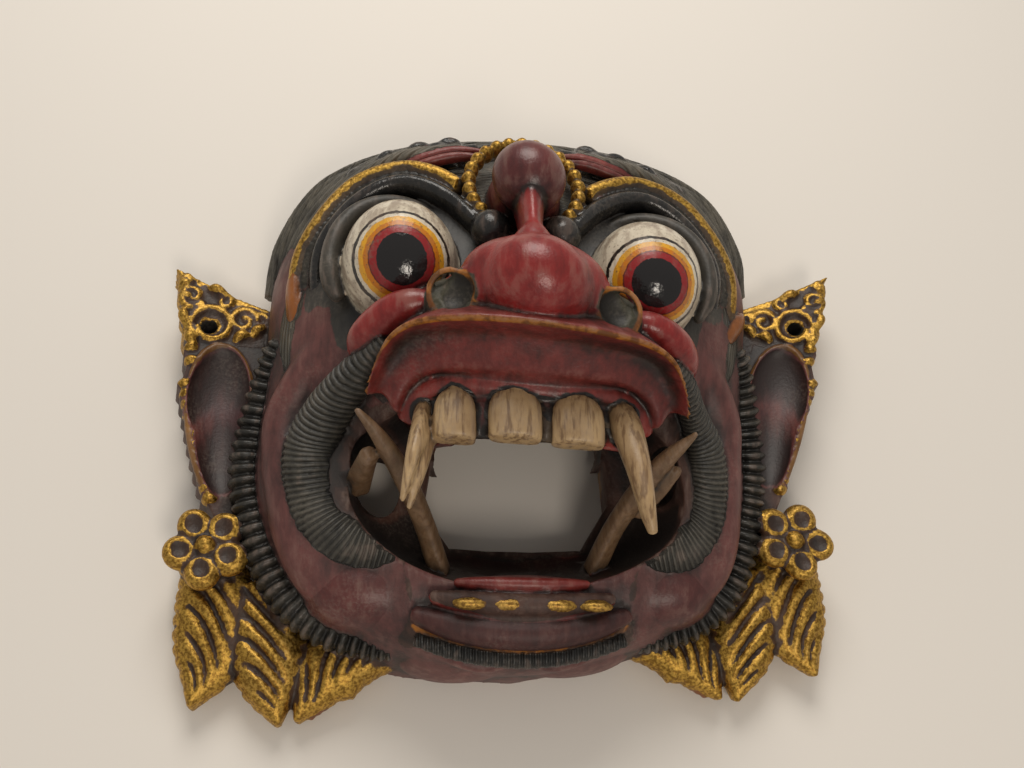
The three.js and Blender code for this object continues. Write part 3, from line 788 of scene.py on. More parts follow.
def upper_jaw():
    lump("lip", (0, 2, 48), (54, 27, 52), rings=40)
    layers = []
    for share in np.linspace(-1, 1, 121):
        lip = arch(LIP_HALF, LIP_TOP_Z, LIP_CORNER_Z, -10, 12, share)
        gum = arch(GUM_HALF, GUM_TOP_Z, 68, -16.5, 8, share)
        hollow = (lip + gum) / 2 + (0, 4, 0)
        root = np.array((gum[0] * 0.8, gum[1] + 16, gum[2] - 14))
        crest = np.array((lip[0] * 0.97, lip[1] + 2.5, lip[2]))
        slope = np.array((lip[0] * 0.82, lip[1] + 13, lip[2] - 11))
        loop = [slope, crest, lip, hollow, gum, root, slope]
        layers.append(smooth_path(loop, np.linspace(0, 1, 49))[:-1])
    skin("lip", layers)
    gum = [arch(GUM_HALF - 3, GUM_TOP_Z - 1, 68, -17.5, 7, s) for s in np.linspace(-1, 1, 9)]
    strand("gum", [[x, y, z - 5, 4, 5] for x, y, z in gum], rings=80, sides=24, up=(0, -1, 1))
    strand("gum", [[-31, -26, 70, 8, 3], [-14, -26, 76, 9, 3], [14, -26, 76, 9, 3], [31, -26, 70, 8, 3]],
           rings=50, sides=20)


nose()
upper_jaw()
print(len(clay), "forms for the nose and the upper jaw")

# %% [markdown]
# The lower jaw is a shelf with its own lip, a row of worn gilded teeth, the ridge of the tongue and
# a narrow beard below the lip.

# %% Lower jaw
JAW_HALF = 46.0
JAW_TOP_Z = 49.0


def across(half, y, bend, z, fall, width, height):
    """Stops of a roll that runs across the jaw and bends back at both ends."""
    stops = []
    for share in np.linspace(-1, 1, 9):
        place = [half * share, y + bend * share ** 2, z - fall * share ** 2]
        stops.append(place + [width * (1 - share ** 4 / 2), height])
    return stops


def lower_jaw():
    lump("brown", (0, CHIN_Y + 15, 24), (JAW_HALF, 16, JAW_TOP_Z - 24), rings=32)
    lump("mauve", (18, CHIN_Y + 8, 16), (22, 9, 18), rings=24, both=True)
    strand("lower_lip", across(35, CHIN_Y + 7.5, 8, 44, 4, 5, 4.8), rings=70, sides=24, up=(0, -0.4, 1))
    strand("beard", across(34, CHIN_Y + 0.8, 7, 40, 1.5, 2.8, 3.4), rings=180, sides=16, up=(0, -1, 0.6),
           carve=rings_of(22, 0.15))
    strand("brown", across(30, CHIN_Y + 16, 3, JAW_TOP_Z, 3, 3.5, 3), rings=50, sides=16)
    strand("tongue", across(22, CHIN_Y + 23, 1, JAW_TOP_Z - 2.5, 3, 2.5, 3), rings=50, sides=16)
    for x in (-17, -5, 11, 23):
        lump("old_tooth", (x, CHIN_Y + 15.5, JAW_TOP_Z + 1.6), (5.4, 1.8, 2), rings=12)
    for end in (-1, 1):
        strand("mauve", [
            [end * 1, -93.6, 33.5, 0.6, 0.8], [end * 10, -95.2, 32, 1.6, 2],
            [end * 19, -93.6, 32, 1.6, 2], [end * 30, -89.5, 33, 0.6, 0.8],
        ], rings=30, sides=12)


lower_jaw()
jaws = fuse("jaws", take_clay())
soften_seams(jaws, (0, 12, 98), (22, 14, 26), 60)
for side in (1, -1):
    soften_seams(jaws, (50 * side, -18, 76), (9, 13, 13), 8)

# %% [markdown]
# The hollow behind the face, the open mouth, the gaps behind the tusks, the nostrils, the cups of
# the petals and the dishes of the ears are cut last, through everything. The hollow is deep behind
# the brow, where a wearer's forehead goes, and shallow behind the mouth.

# %% Hollows
MOUTH_OUTLINE = [(32, -22), (33, -38), (23, -54), (-23, -52), (-32, -37), (-30, -22)]
EAR_DISHES = (
    ((107, 7, EAR_THICK + 2), (11, 19, 5.6), (0, 0, -4)),
    ((104.5, -6, EAR_THICK + 2), (8.4, 27, 5.6), (0, 0, -9)),
)


def hollow_depth(y):
    share = np.clip((y + 22) / 40, 0, 1)
    share = share * share * (3 - 2 * share)
    return MOUTH_HOLLOW_DEPTH + (HOLLOW_DEPTH - MOUTH_HOLLOW_DEPTH) * share


def hollows():
    dome("bare", WALL, -5, hollow_depth, 3, count=96, rings=20)
    lump("bare", (0, 0, 30), (36, 16, 44), rings=24)
    board("brown", MOUTH_OUTLINE, -5, 60)
    lump("brown", (1, -18, 22), (31, 16, 30), rings=28)
    lump("brown", (-49, -31, 20), (9, 15, 40), rings=28)
    lump("brown", (50, -31, 20), (6, 11, 40), rings=28)
    lump("nostril", (25.4, 2.8, 100), (6.6, 6.6, 5), (26, 14, 0), rings=20, both=True)
    lump("pit", (112, 34, 22), (3, 3, 9), rings=12, both=True)
    for turn, (x, y, z) in petals():
        lump("gold", (x, y, z + 5.6), (4.8, 4.6, 3.4), (0, -10, turn), rings=14, both=True)
    for shape in EAR_DISHES:
        dish = lump("ear_red", *shape, rings=24)[0]
        tilt_ear(dish)
        mirror_of(dish)


add_to(face, jaws)
hollows()
cut(face, take_clay())

# %% [markdown]
# Teeth. Three broad front teeth stand in the upper gum, with a long fang on each side. The left fang
# has split along its length. Tusks rise from the lower jaw beside them, and one is a broken stub.

# %% Teeth, fangs and tusks
TOOTH_LENGTH = 15.5
TOOTH_DEPTH = 7.0
FRONT_TEETH = ((-23.5, 14), (-5, 17.5), (14.5, 17.5))


def front_tooth(middle, width):
    front = GUM_TOP_Z - 1 - 6 * (middle / GUM_HALF) ** 2
    top = -20 - 3 * (middle / GUM_HALF) ** 2
    layers = []
    for down, share, rise in (
            (-5, 0.4, -4), (-1, 0.5, -1.6), (0, 0.66, -0.8), (1.5, 0.83, -0.2), (4, 0.96, 0.2),
            (7, 1, 0.3), (11, 1, 0.3), (13.9, 0.99, 0), (15.1, 0.96, -0.4), (TOOTH_LENGTH, 0.88, -1.2)):
        loop = []
        for i in range(40):
            turn = 2 * math.pi * i / 40
            c, s = math.cos(turn), math.sin(turn)
            fit = (abs(c) ** 4 + abs(s) ** 4) ** -0.25
            crown = 1.2 * (1 - c * c * fit * fit)
            level = front - TOOTH_DEPTH / 2 - 1.2 + (TOOTH_DEPTH / 2) * s * fit
            level += rise + crown if s > 0 else 0
            loop.append((middle + width / 2 * share * c * fit, top - down, level))
        layers.append(loop)
    skin("tooth", layers)


def teeth():
    for middle, width in FRONT_TEETH:
        front_tooth(middle, width - 0.6)
    strand("tooth", [[28, -17, 68, 4, 5], [30, -26, 75, 5.2, 5], [32.5, -42, 80, 4, 4.4],
                     [34.5, -56, 80, 2.6, 3], [36, -63, 79, 1.4, 1.4]], rings=60, sides=24)
    strand("tooth", [[-33, -20, 66, 3, 4], [-34, -30, 74, 2.8, 4], [-36, -43, 79, 2.4, 3.4],
                     [-39, -58, 78, 0.8, 0.8]], rings=60, sides=24)
    strand("tooth", [[-31, -21, 65, 2.4, 3], [-31.5, -33, 72, 2.6, 3.6], [-34, -48, 76, 1.8, 2.8],
                     [-37, -59, 75, 0.8, 0.8]], rings=60, sides=24)
    strand("tooth", [[-29.5, -22, 66, 1.6, 2.4], [-32, -34, 75, 1.6, 2.4], [-35.5, -45, 80, 1.2, 1.8],
                     [-38.5, -56, 79.5, 0.6, 0.6]], rings=50, sides=16)
    strand("tusk", [
        [26, -63, 28, 4, 6], [31.5, -51, 40, 3.6, 4.6], [38.5, -41, 55, 3.6, 4], [46, -33, 66, 2.8, 3],
        [54, -27, 75, 0.8, 0.8],
    ], rings=60, sides=24, carve=locks_of(5, 0.1, 0.3), both=True)
    strand("tusk", [
        [-54, -38, 40, 4, 4], [-51.5, -37, 54, 3.4, 3.4], [-50, -36, 61, 3, 3],
        [-49.5, -35.5, 63, 2.4, 2.4],
    ], rings=40, sides=24, carve=locks_of(4, 0.12, 0.3))
    strand("tusk", [
        [38, -46, 44, 4, 4], [44, -41, 54, 3.4, 3.4], [48, -37, 60, 2.6, 2.6], [50, -36, 63, 1, 1],
    ], rings=40, sides=24, carve=locks_of(4, 0.12, 0.3))


teeth()
bite = fuse("bite", take_clay(), 0.6)
add_to(face, bite)

# %% [markdown]
# The back rim is planed flat, and the mesh is thinned to a size that a library can carry. The
# smoothing takes off the facets that the Remesh left. A few specks that the Booleans left loose
# are taken off, so that nothing hangs in the air beside the wood.

# %% Plane the back, thin and finish the mesh
TRIANGLES = 190000


def without_chips(form):
    """Takes off the loose chips, smaller than a grain of sand, that a Boolean leaves in the air."""
    bpy.ops.object.select_all(action="DESELECT")
    form.select_set(True)
    bpy.context.view_layer.objects.active = form
    bpy.ops.object.mode_set(mode="EDIT")
    bpy.ops.mesh.select_all(action="SELECT")
    bpy.ops.mesh.separate(type="LOOSE")
    bpy.ops.object.mode_set(mode="OBJECT")
    pieces = sorted(bpy.context.selected_objects, key=lambda piece: len(piece.data.polygons))
    for chip in pieces[:-1]:
        bpy.data.objects.remove(chip)
    print("took off", len(pieces) - 1, "loose chips and kept", len(pieces[-1].data.polygons), "faces")
    return pieces[-1]


bpy.ops.object.select_all(action="DESELECT")
bpy.ops.mesh.primitive_cube_add(size=1.0, location=(0, 0, -50), scale=(400, 400, 100))
bpy.ops.object.transform_apply(location=True, rotation=True, scale=True)
keep("bare")
cut(face, take_clay())
apply_modifier(face, "SMOOTH", factor=0.5, iterations=1)
face.data.calc_loop_triangles()
print("triangles before thinning:", len(face.data.loop_triangles))
apply_modifier(face, "DECIMATE", ratio=min(1.0, TRIANGLES / len(face.data.loop_triangles)))
face = without_chips(face)

corners = np.empty(len(face.data.vertices) * 3)
face.data.vertices.foreach_get("co", corners)
corners = corners.reshape(-1, 3)
corners[:, 2] = np.maximum(corners[:, 2], 0.0)
print("corners:", len(corners), "triangles:", len(face.data.polygons))

# %% [markdown]
# Painting by hand means that each carved form has its own colour. The table gives each paint its
# light tone, its dark tone and its roughness. Each corner of the mesh takes the paint of the form
# that it came from, a few rules repaint what runs over a form's edge, and each paint becomes one soft
# mask that the material reads.

# %% Paint masks
TONES = {
    "mauve": ("72413d", "36201e", 0.5),
    "bulb": ("622f2c", "2f1918", 0.42),
    "hair": ("6c6659", "2b2925", 0.5),
    "lid": ("45413a", "1d1b19", 0.5),
    "brow": ("38342b", "161513", 0.45),
    "black": ("2a2928", "0f0f10", 0.24),
    "coil": ("3a3730", "141312", 0.42),
    "gold": ("54351f", "271812", 0.5),
    "old_gold": ("5c4426", "261b12", 0.5),
    "orange": ("9c5a1c", "5c3010", 0.35),
    "ochre": ("8a5f28", "4c3018", 0.45),
    "knob": ("6c2e2d", "351717", 0.34),
    "red": ("982725", "4e1615", 0.32),
    "lip": ("84302b", "3e1a17", 0.4),
    "gum": ("9c3a34", "54211d", 0.38),
    "nostril": ("46432f", "1e1d16", 0.55),
    "eye": ("d6cbb7", "998870", 0.3),
    "whisker": ("545047", "201f1c", 0.5),
    "leaf": ("5c3a1e", "2b1a11", 0.5),
    "brown": ("56392e", "241713", 0.6),
    "lower_lip": ("4a1c18", "200f0e", 0.56),
    "beard": ("2b2a27", "111010", 0.45),
    "tongue": ("8c302b", "451b18", 0.4),
    "old_tooth": ("7c5228", "352114", 0.45),
    "tooth": ("c0a277", "705338", 0.42),
    "tusk": ("86684a", "3c2d1e", 0.5),
    "bare": ("a9855d", "6c5036", 0.75),
    "pit": ("2b2921", "151410", 0.7),
    "ear": ("553b34", "2b1f1c", 0.55),
    "ear_red": ("7c443c", "46292a", 0.5),
}


def nearest_paint(corners):
    tree = BVHTree.FromPolygons(marks["corners"], marks["faces"])
    names = np.array(marks["paint"])
    return names[[tree.find_nearest(corner)[2] for corner in corners]]


def edge_pairs(form):
    pairs = np.empty(len(form.data.edges) * 2, dtype=np.int32)
    form.data.edges.foreach_get("vertices", pairs)
    return pairs.reshape(-1, 2)


def soften(values, pairs, rounds):
    """Averages values along the mesh's edges."""
    count = np.bincount(pairs.ravel(), minlength=len(values))
    for _ in range(rounds):
        near = (np.bincount(pairs[:, 0], values[pairs[:, 1]], len(values))
                + np.bincount(pairs[:, 1], values[pairs[:, 0]], len(values)))
        values = 0.5 * values + 0.5 * near / np.maximum(count, 1)
    return values


def add_mask(form, name, values):
    attribute = form.data.attributes.new(name, "FLOAT", "POINT")
    attribute.data.foreach_set("value", values.astype(np.float32))


def tree_of(spots):
    tree = kdtree.KDTree(len(spots))
    for i, spot in enumerate(spots):
        tree.insert(spot, i)
    tree.balance()
    return tree


def spot_distance(corners, spots):
    """Distance in mm from each corner to the nearest of the spots."""
    tree = tree_of(spots)
    return np.array([tree.find(corner)[2] for corner in corners])


def line_distance(corners, lines):
    """Distance in mm from each corner to the nearest of some painted lines."""
    return spot_distance(corners, np.vstack([smooth_path(line, np.linspace(0, 1, 400)) for line in lines]))


def rim_lines():
    lip = [arch(LIP_HALF, LIP_TOP_Z, LIP_CORNER_Z, -10, 12, s) for s in np.linspace(-1, 1, 41)]
    lower = [stop[:3] for stop in across(34, CHIN_Y + 3.2, 8, 43, 4, 1, 1)]
    lines = [lip, lower]
    tilt = Matrix.Rotation(NOSTRIL_TILT[1], 3, "Y") @ Matrix.Rotation(NOSTRIL_TILT[0], 3, "X")
    for side in (1, -1):
        ring = []
        for angle in range(0, 361, 20):
            turn = math.radians(angle)
            spot = tilt @ Vector((7.6 * math.cos(turn), 7.6 * math.sin(turn), 1.4)) + Vector(NOSTRIL_AT)
            ring.append((side * spot.x, spot.y, spot.z))
        lines.append(ring)
    return lines


def comb_along(corners, path, half, count, skew):
    """How many ribs of a roll lie before each corner, with the same bend as its carved grooves."""
    places = np.linspace(0, 1, 900)
    middle, side, _ = slices([[*stop[:3], 1, 1] for stop in path], places, (0, 0, 1))
    tree = tree_of(middle[:, :3])
    mirrored = np.column_stack([np.abs(corners[:, 0]), corners[:, 1], corners[:, 2]])
    near = np.array([tree.find(corner)[1] for corner in mirrored])
    across = ((mirrored - middle[near, :3]) * side[near]).sum(axis=1) / half
    return count * places[near] + skew * np.clip(across, -1, 1) ** 2


paints = nearest_paint(corners)
pairs = edge_pairs(face)
x, y, z = corners.T
outward = np.abs(x)


def repaint(old, new, where):
    paints[(paints == old) & where] = new


repaint("hair", "mauve", (y < 21) & (outward < 77) & (z < 56))
repaint("hair", "lid", np.hypot(outward - EYE_AT[0], y - EYE_AT[1] - 2) < 33)
repaint("mauve", "brown", (y > -63) & ((x / 67) ** 2 + ((y + 35) / 33) ** 2 < 1))
repaint("brown", "mauve", (y < -89) & (z < 39))
repaint("ear", "gold", y > 27)
repaint("brown", "tongue", (y < -56) & (z < 48) & (outward < 30))
repaint("red", "nostril", (np.hypot(outward - 25.4, y - 2.8) < 6.4) & (z > 86) & (z < 100))
for name in TONES:
    add_mask(face, "is_" + name, soften((paints == name).astype(float), pairs, 2))
print("paints:", {str(name): int((paints == name).sum()) for name in sorted(set(paints))})

# %% [markdown]
# The material needs to know more of the carving than its paint. Whiskers, coils, hair and beard get
# a count of the fine ribs that lie before each corner, so that the ribs follow the carved grooves.
# Other masks tell how far a corner is from a tooth, a rim or the middle of the pupil, and how far it
# stands out of the surface round it, because wear takes the ridges and dirt fills the hollows.

# %% Masks for ribs, edges and wear
comb = np.zeros(len(corners))
for name, ribs in (
        ("whisker", comb_along(corners, WHISKER_PATH, 7.5, WHISKER_RIBS, 0.7)),
        ("coil", comb_along(corners, COIL_PATH, COIL_RADIUS, COIL_RINGS, 0.2)),
        ("hair", (np.hypot(x / 88, (y - 14) / 90) * 90 - 0.6 * z) / 2.3),
        ("beard", x / 1.7)):
    comb = np.where(paints == name, ribs, comb)
add_mask(face, "comb", comb)
add_mask(face, "tooth_mm", spot_distance(corners, corners[paints == "tooth"]))
add_mask(face, "rim_mm", line_distance(corners, rim_lines()))

normals = np.empty(len(corners) * 3)
face.data.vertices.foreach_get("normal", normals)
normals = normals.reshape(-1, 3)
fine = np.column_stack([soften(corners[:, i], pairs, 5) for i in range(3)])
broad = np.column_stack([soften(fine[:, i], pairs, 40) for i in range(3)])
raised = ((corners - fine) * normals).sum(axis=1)
proud = ((corners - broad) * normals).sum(axis=1)
add_mask(face, "raised", soften(raised, pairs, 1))
add_mask(face, "proud", soften(proud, pairs, 2))

from_eye = np.column_stack([outward, y, z]) - np.array(EYE_AT)
gaze = np.array((-0.02, -0.45, 0.88))
gaze /= np.linalg.norm(gaze)
aside = from_eye - (from_eye @ gaze)[:, None] * gaze
add_mask(face, "eye_mm", np.linalg.norm(aside, axis=1))
print("raised from", round(float(raised.min()), 2), "to", round(float(raised.max()), 2), "mm,",
      "proud from", round(float(proud.min()), 2), "to", round(float(proud.max()), 2), "mm")

# %% [markdown]
# Paint on carved wood. The ground is a dark red oil paint gone mauve with age, the hair and lids are
# soot black, and the ears, brows and leaves carry gold leaf that is worn to a brown ground in the
# cuts. One node material does it all, because the paints run into each other at their edges. Every
# node is added by one function, which fills its inputs in order, and every cloudy pattern is made
# from a size in millimetres: broad patches of thinner paint, long brush strokes and small specks.

# %% Start the painted wood
wood = bpy.data.materials.new("painted_carved_wood")
wood.use_nodes = True
tree = wood.node_tree
SMOOTH = {"interpolation_type": "SMOOTHSTEP"}


def add(kind, *values, output=None, **settings):
    """Adds a shader node with its settings. Each value is a number, a colour or another node's
    output, and goes to the next input; None leaves that input alone."""
    made = tree.nodes.new("ShaderNode" + kind)
    for name, setting in settings.items():
        setattr(made, name, setting)
    for socket, value in zip([socket for socket in made.inputs if socket.enabled], values):
        if isinstance(value, bpy.types.NodeSocket):
            tree.links.new(value, socket)
        elif value is not None:
            socket.default_value = value
    return made.outputs[output] if output else next(socket for socket in made.outputs if socket.enabled)


def cloudy(size_mm, detail=3.0, stretch=(1, 1, 1), shift=0.0):
    """An uneven pattern whose spots are about size_mm across, from 0 to 1."""
    spot = add("Mapping", place, (shift, shift, shift), None, [1000 / size_mm * v for v in stretch])
    return add("TexNoise", spot, 1.0, detail, 0.6)


place = add("TexCoord", output="Object")
patches = cloudy(22, 4)
strokes = cloudy(3.2, 4, (1, 0.25, 1), 7)
specks = cloudy(1.1, 2, shift=3)
wobble = add("Math", cloudy(2.6, 2), 0.36, -0.18, operation="MULTIPLY_ADD")
raised = add("Attribute", attribute_name="raised", output="Fac")
proud = add("Attribute", attribute_name="proud", output="Fac")
print(len(tree.nodes), "nodes for the patterns")

# %% [markdown]
# The grounds. Each paint has a light and a dark tone, and broad patches and brush strokes move between
# the two. The tone is also lighter where the surface stands proud and darker where it sinks: old paint
# is thin on the ridges and dirty in the grooves, and the darker hollows are also painted shade. The
# edge between two paints wobbles a little, as a brush held by hand makes it. Only the eyes and the
# teeth have clean edges.

# %% Grounds
tone = add("Math", patches, 1.5, -0.35, operation="MULTIPLY_ADD")
brushed = add("Math", strokes, 0.5, operation="SUBTRACT")
tone = add("Math", brushed, 1.3, tone, operation="MULTIPLY_ADD")
# The proud term makes the sunken parts darker: painted shade in the hollows, together with the dirt.
tone = add("Math", proud, 0.18, tone, operation="MULTIPLY_ADD")
tone = add("Clamp", tone)
light, dark, rough = srgb(TONES["mauve"][0]), srgb(TONES["mauve"][1]), TONES["mauve"][2]
masks = {}
for name, (bright, deep, roughness) in TONES.items():
    mask = add("Attribute", attribute_name="is_" + name, output="Fac")
    edge = add("Math", mask, 0.0 if name in ("eye", "tooth") else wobble, operation="ADD")
    masks[name] = add("MapRange", edge, 0.44, 0.56, **SMOOTH)
    light = add("Mix", masks[name], light, srgb(bright), data_type="RGBA")
    dark = add("Mix", masks[name], dark, srgb(deep), data_type="RGBA")
    change = add("Math", roughness, rough, operation="SUBTRACT")
    rough = add("Math", masks[name], change, rough, operation="MULTIPLY_ADD")
colour = add("Mix", tone, dark, light, data_type="RGBA")
print(len(masks), "paints on their grounds")

# %% [markdown]
# The eyes. The painter drew rings round a black pupil: red, a thin dark line, ochre, yellow, white, a
# thin black line and white again. The ring masks read the distance from the line of sight, with a
# little noise for the unsteady brush. The white is stained brown towards the lids, and the pupil is
# the glossiest spot of the mask.

# %% Eyes
PUPIL_MM = 8.3
RINGS = (
    (PUPIL_MM, "8c1f22"), (10.5, "5c1917"), (10.9, "c2740f"), (12.4, "dda021"), (13.9, "d6ccb8"),
    (15.0, "161514"), (15.9, "d2c7b2"),
)
eye_mm = add("Attribute", attribute_name="eye_mm", output="Fac")
eye_mm = add("Math", eye_mm, 0.45, operation="SUBTRACT")
reach = add("Math", cloudy(2.2, 2, shift=11), 0.9, eye_mm, operation="MULTIPLY_ADD")
iris = srgb("1d1b1c")
for ring_mm, code in RINGS:
    ring = add("MapRange", reach, ring_mm - 0.12, ring_mm + 0.12, **SMOOTH)
    iris = add("Mix", ring, iris, srgb(code), data_type="RGBA")
near_lid = add("MapRange", reach, 12.0, 24.0, 0.0, 0.9, **SMOOTH)
stained = add("MapRange", strokes, 0.38, 0.66, **SMOOTH)
stained = add("Math", near_lid, stained, operation="MULTIPLY")
iris = add("Mix", stained, iris, srgb("6b4c30"), data_type="RGBA")
fly_specks = add("MapRange", specks, 0.58, 0.7, 0.0, 0.6, **SMOOTH)
past_pupil = add("MapRange", reach, PUPIL_MM, PUPIL_MM + 1, **SMOOTH)
fly_specks = add("Math", fly_specks, past_pupil, operation="MULTIPLY")
iris = add("Mix", fly_specks, iris, srgb("54402c"), data_type="RGBA")
colour = add("Mix", masks["eye"], colour, iris, data_type="RGBA")
pupil = add("MapRange", reach, PUPIL_MM - 0.1, PUPIL_MM + 0.2, 1.0, 0.0, **SMOOTH)
pupil = add("Math", masks["eye"], pupil, operation="MULTIPLY")
outside = add("Math", 1.0, pupil, operation="SUBTRACT")
rough = add("Math", pupil, -0.2, rough, operation="MULTIPLY_ADD")
print(len(RINGS), "painted rings")

# %% [markdown]
# Rims and teeth. An ochre line, rubbed away in places, follows the edge of the upper lip, the lower
# lip and the nostrils. The teeth are bone-coloured paint with brown stains along the grain, and a
# black line on the gum outlines each.

# %% Rims and teeth
rim = add("Attribute", attribute_name="rim_mm", output="Fac")
rim = add("Math", wobble, 2.2, rim, operation="MULTIPLY_ADD")
rim = add("MapRange", rim, 0.9, 1.6, 1.0, 0.0, **SMOOTH)
unrubbed = add("MapRange", patches, 0.26, 0.46, **SMOOTH)
rim = add("Math", rim, unrubbed, operation="MULTIPLY")
streaks = add("MapRange", strokes, 0.4, 0.6, **SMOOTH)
ochre = add("Mix", streaks, srgb("6a3d14"), srgb("a8681c"), data_type="RGBA")
colour = add("Mix", rim, colour, ochre, data_type="RGBA")
outline = add("Attribute", attribute_name="tooth_mm", output="Fac")
outline = add("Math", wobble, 1.2, outline, operation="MULTIPLY_ADD")
outline = add("MapRange", outline, 1.1, 1.7, 1.0, 0.0, **SMOOTH)
off_tooth = add("Math", 1.0, masks["tooth"], operation="SUBTRACT")
outline = add("Math", outline, off_tooth, operation="MULTIPLY")
colour = add("Mix", outline, colour, srgb("14100e"), data_type="RGBA")
old_bone = add("Math", masks["tooth"], masks["tusk"], operation="MAXIMUM")
grain = add("MapRange", cloudy(1.6, 3, (1, 0.12, 1), 21), 0.46, 0.66, 0.0, 0.7, **SMOOTH)
grain = add("Math", old_bone, grain, operation="MULTIPLY")
colour = add("Mix", grain, colour, srgb("5c4028"), data_type="RGBA")
print(len(tree.nodes), "nodes with the rims and the teeth")

# %% [markdown]
# Gold leaf. Leaf is thin metal, so it is fully metallic where it is left. It stays on the ridges and
# wears off in patches, more on the brows, which hands touch, and its brown ground shows between.

# %% Gold leaf
gilded = add("Math", masks["gold"], masks["leaf"], operation="MAXIMUM")
gilded = add("Math", gilded, masks["old_gold"], operation="MAXIMUM")
on_teeth = add("Math", masks["old_tooth"], 0.8, operation="MULTIPLY")
gilded = add("Math", gilded, on_teeth, operation="MAXIMUM")
left = add("Math", proud, 0.16, cloudy(5.5, 5, shift=5), operation="MULTIPLY_ADD")
left = add("Math", raised, 1.3, left, operation="MULTIPLY_ADD")
for name, more in (("old_gold", -0.1), ("gold", -0.05), ("leaf", 0.04)):
    left = add("Math", masks[name], more, left, operation="MULTIPLY_ADD")
left = add("MapRange", left, 0.44, 0.6, **SMOOTH)
gilt = add("Math", gilded, left, operation="MULTIPLY")
# Painted glints: bright yellow specks in the gold's colour stand in for the gleam of the crinkled leaf.
glints = add("MapRange", specks, 0.35, 0.65, **SMOOTH)
gold = add("Mix", glints, srgb("8a6830"), srgb("cfa650"), data_type="RGBA")
colour = add("Mix", gilt, colour, gold, data_type="RGBA")
polish = add("Math", specks, 0.35, -0.2, operation="MULTIPLY_ADD")
rough = add("Math", gilt, polish, rough, operation="MULTIPLY_ADD")
print(len(tree.nodes), "nodes with the gold leaf")

# %% [markdown]
# Soot, shade and wear. The hollows are darkened, partly by soot and dust and partly as painted shade,
# and this stops at the glossy pupils. Painted shade also lies as dark lines in the grooves between the
# whisker ribs and between the coils. Where a ridge stands proud the paint is scuffed to a dull grey,
# though less on the lower lip, and a thin dust lies in patches over all of it.

# %% Soot, painted shade and wear
# Soot and painted shade: the colour goes near black in the hollows, where the surface sinks below its
# neighbours.
soot_and_shade = add("Math", strokes, 0.1, raised, operation="MULTIPLY_ADD")
soot_and_shade = add("MapRange", soot_and_shade, -0.22, 0.06, 0.82, 0.0, **SMOOTH)
deep_soot_and_shade = add("MapRange", proud, -2.2, -0.2, 0.4, 0.0, **SMOOTH)
soot_and_shade = add("Math", soot_and_shade, deep_soot_and_shade, operation="MAXIMUM")
off_gold = add("Math", gilded, -0.45, 1.0, operation="MULTIPLY_ADD")
soot_and_shade = add("Math", soot_and_shade, off_gold, operation="MULTIPLY")
soot_and_shade = add("Math", soot_and_shade, outside, operation="MULTIPLY")
colour = add("Mix", soot_and_shade, colour, srgb("17120f"), data_type="RGBA")
clear_of_soot_and_shade = add("Math", 1.0, soot_and_shade, operation="SUBTRACT")
gilt = add("Math", gilt, clear_of_soot_and_shade, operation="MULTIPLY")

comb = add("Attribute", attribute_name="comb", output="Fac")
comb = add("Math", comb, 2 * math.pi, operation="MULTIPLY")
comb = add("Math", comb, operation="COSINE")
rolls = add("Math", masks["whisker"], masks["coil"], operation="MAXIMUM")
# Painted shade: near-black lines in the grooves between the whisker ribs and between the coils.
lines = add("MapRange", comb, 0.1, 0.9, **SMOOTH)
lines = add("Math", lines, 0.65, operation="MULTIPLY")
lines = add("Math", lines, rolls, operation="MULTIPLY")
colour = add("Mix", lines, colour, srgb("0e0d0c"), data_type="RGBA")

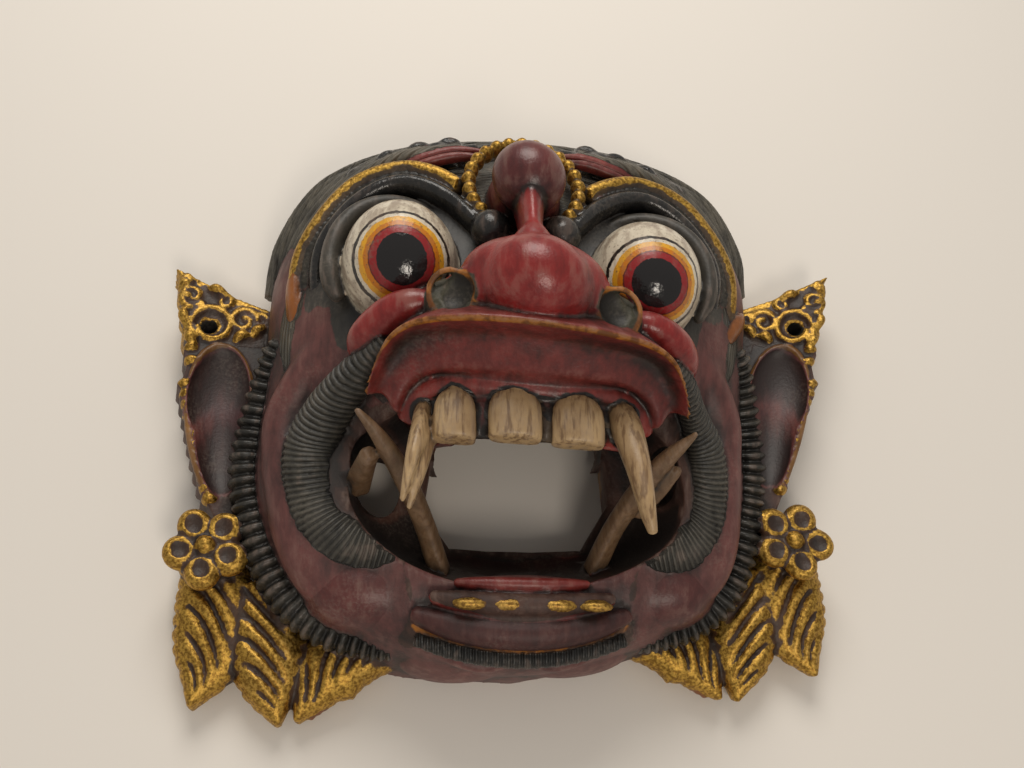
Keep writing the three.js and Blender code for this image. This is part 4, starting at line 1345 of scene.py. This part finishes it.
ridges = add("MapRange", raised, 0.08, 0.3, 0.0, 0.4, **SMOOTH)
rubbed = add("MapRange", strokes, 0.45, 0.65, **SMOOTH)
scuff = add("Math", ridges, rubbed, operation="MULTIPLY")
ungilded = add("Math", 1.0, gilded, operation="SUBTRACT")
scuff = add("Math", scuff, ungilded, operation="MULTIPLY")
scuff = add("Math", scuff, outside, operation="MULTIPLY")
off_lip = add("Math", masks["lower_lip"], -0.7, 1.0, operation="MULTIPLY_ADD")
scuff = add("Math", scuff, off_lip, operation="MULTIPLY")
colour = add("Mix", scuff, colour, srgb("7c6a60"), data_type="RGBA")
dust = add("MapRange", patches, 0.45, 0.7, 0.0, 0.2, **SMOOTH)
motes = add("MapRange", specks, 0.4, 0.7, **SMOOTH)
motes = add("Math", motes, outside, operation="MULTIPLY")
dust = add("Math", dust, motes, operation="MULTIPLY")
colour = add("Mix", dust, colour, srgb("8b8074"), data_type="RGBA")
print(len(tree.nodes), "nodes with the wear")

# %% [markdown]
# Relief that is too fine for the mesh is bump. The ribs of the whiskers, coils, hair and beard are
# cut a little deeper, and over them lie the brush strokes, which are finer still, and the crinkles
# of the gold leaf, drawn a little coarser than real ones so that they show.

# %% Fine relief
hairy = add("Math", masks["hair"], masks["beard"], operation="MAXIMUM")
hairy = add("Math", rolls, hairy, operation="MAXIMUM")
groove = add("Math", comb, 0.5, 0.5, operation="MULTIPLY_ADD")
groove = add("Math", groove, 1.5, operation="POWER")
groove = add("Math", groove, hairy, operation="MULTIPLY")
groove = add("Math", groove, -1.0, operation="MULTIPLY")
ribs = add("Bump", 0.8, 0.0009, None, groove)
bristles = add("Math", specks, 0.5, operation="MULTIPLY")
bristles = add("Math", strokes, 0.6, bristles, operation="MULTIPLY_ADD")
crinkles = add("Math", cloudy(1.6, 4, shift=9), 1.2, operation="MULTIPLY")
height = add("Math", gilded, crinkles, bristles, operation="MULTIPLY_ADD")
relief = add("Bump", 0.5, 0.0004, None, height, ribs)
shader = tree.nodes["Principled BSDF"]
tree.links.new(colour, shader.inputs["Base Color"])
tree.links.new(gilt, shader.inputs["Metallic"])
tree.links.new(rough, shader.inputs["Roughness"])
tree.links.new(relief, shader.inputs["Normal"])
print(len(tree.nodes), "nodes in the painted wood")

# %% [markdown]
# The finished mask goes to its place. Its corners are moved to where the carver's hand left them and
# turned from millimetres to metres, and it takes the place of the plain mask.

# %% Put the mask in its place
face.data.materials.clear()
face.data.materials.append(wood)
face.data.polygons.foreach_set("use_smooth", [True] * len(face.data.polygons))
move_corners(face, by_hand(corners) * MM)
face.name = "carved_mask"
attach(face, "root")
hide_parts("mask")
print(face.name, "stands for the plain mask")
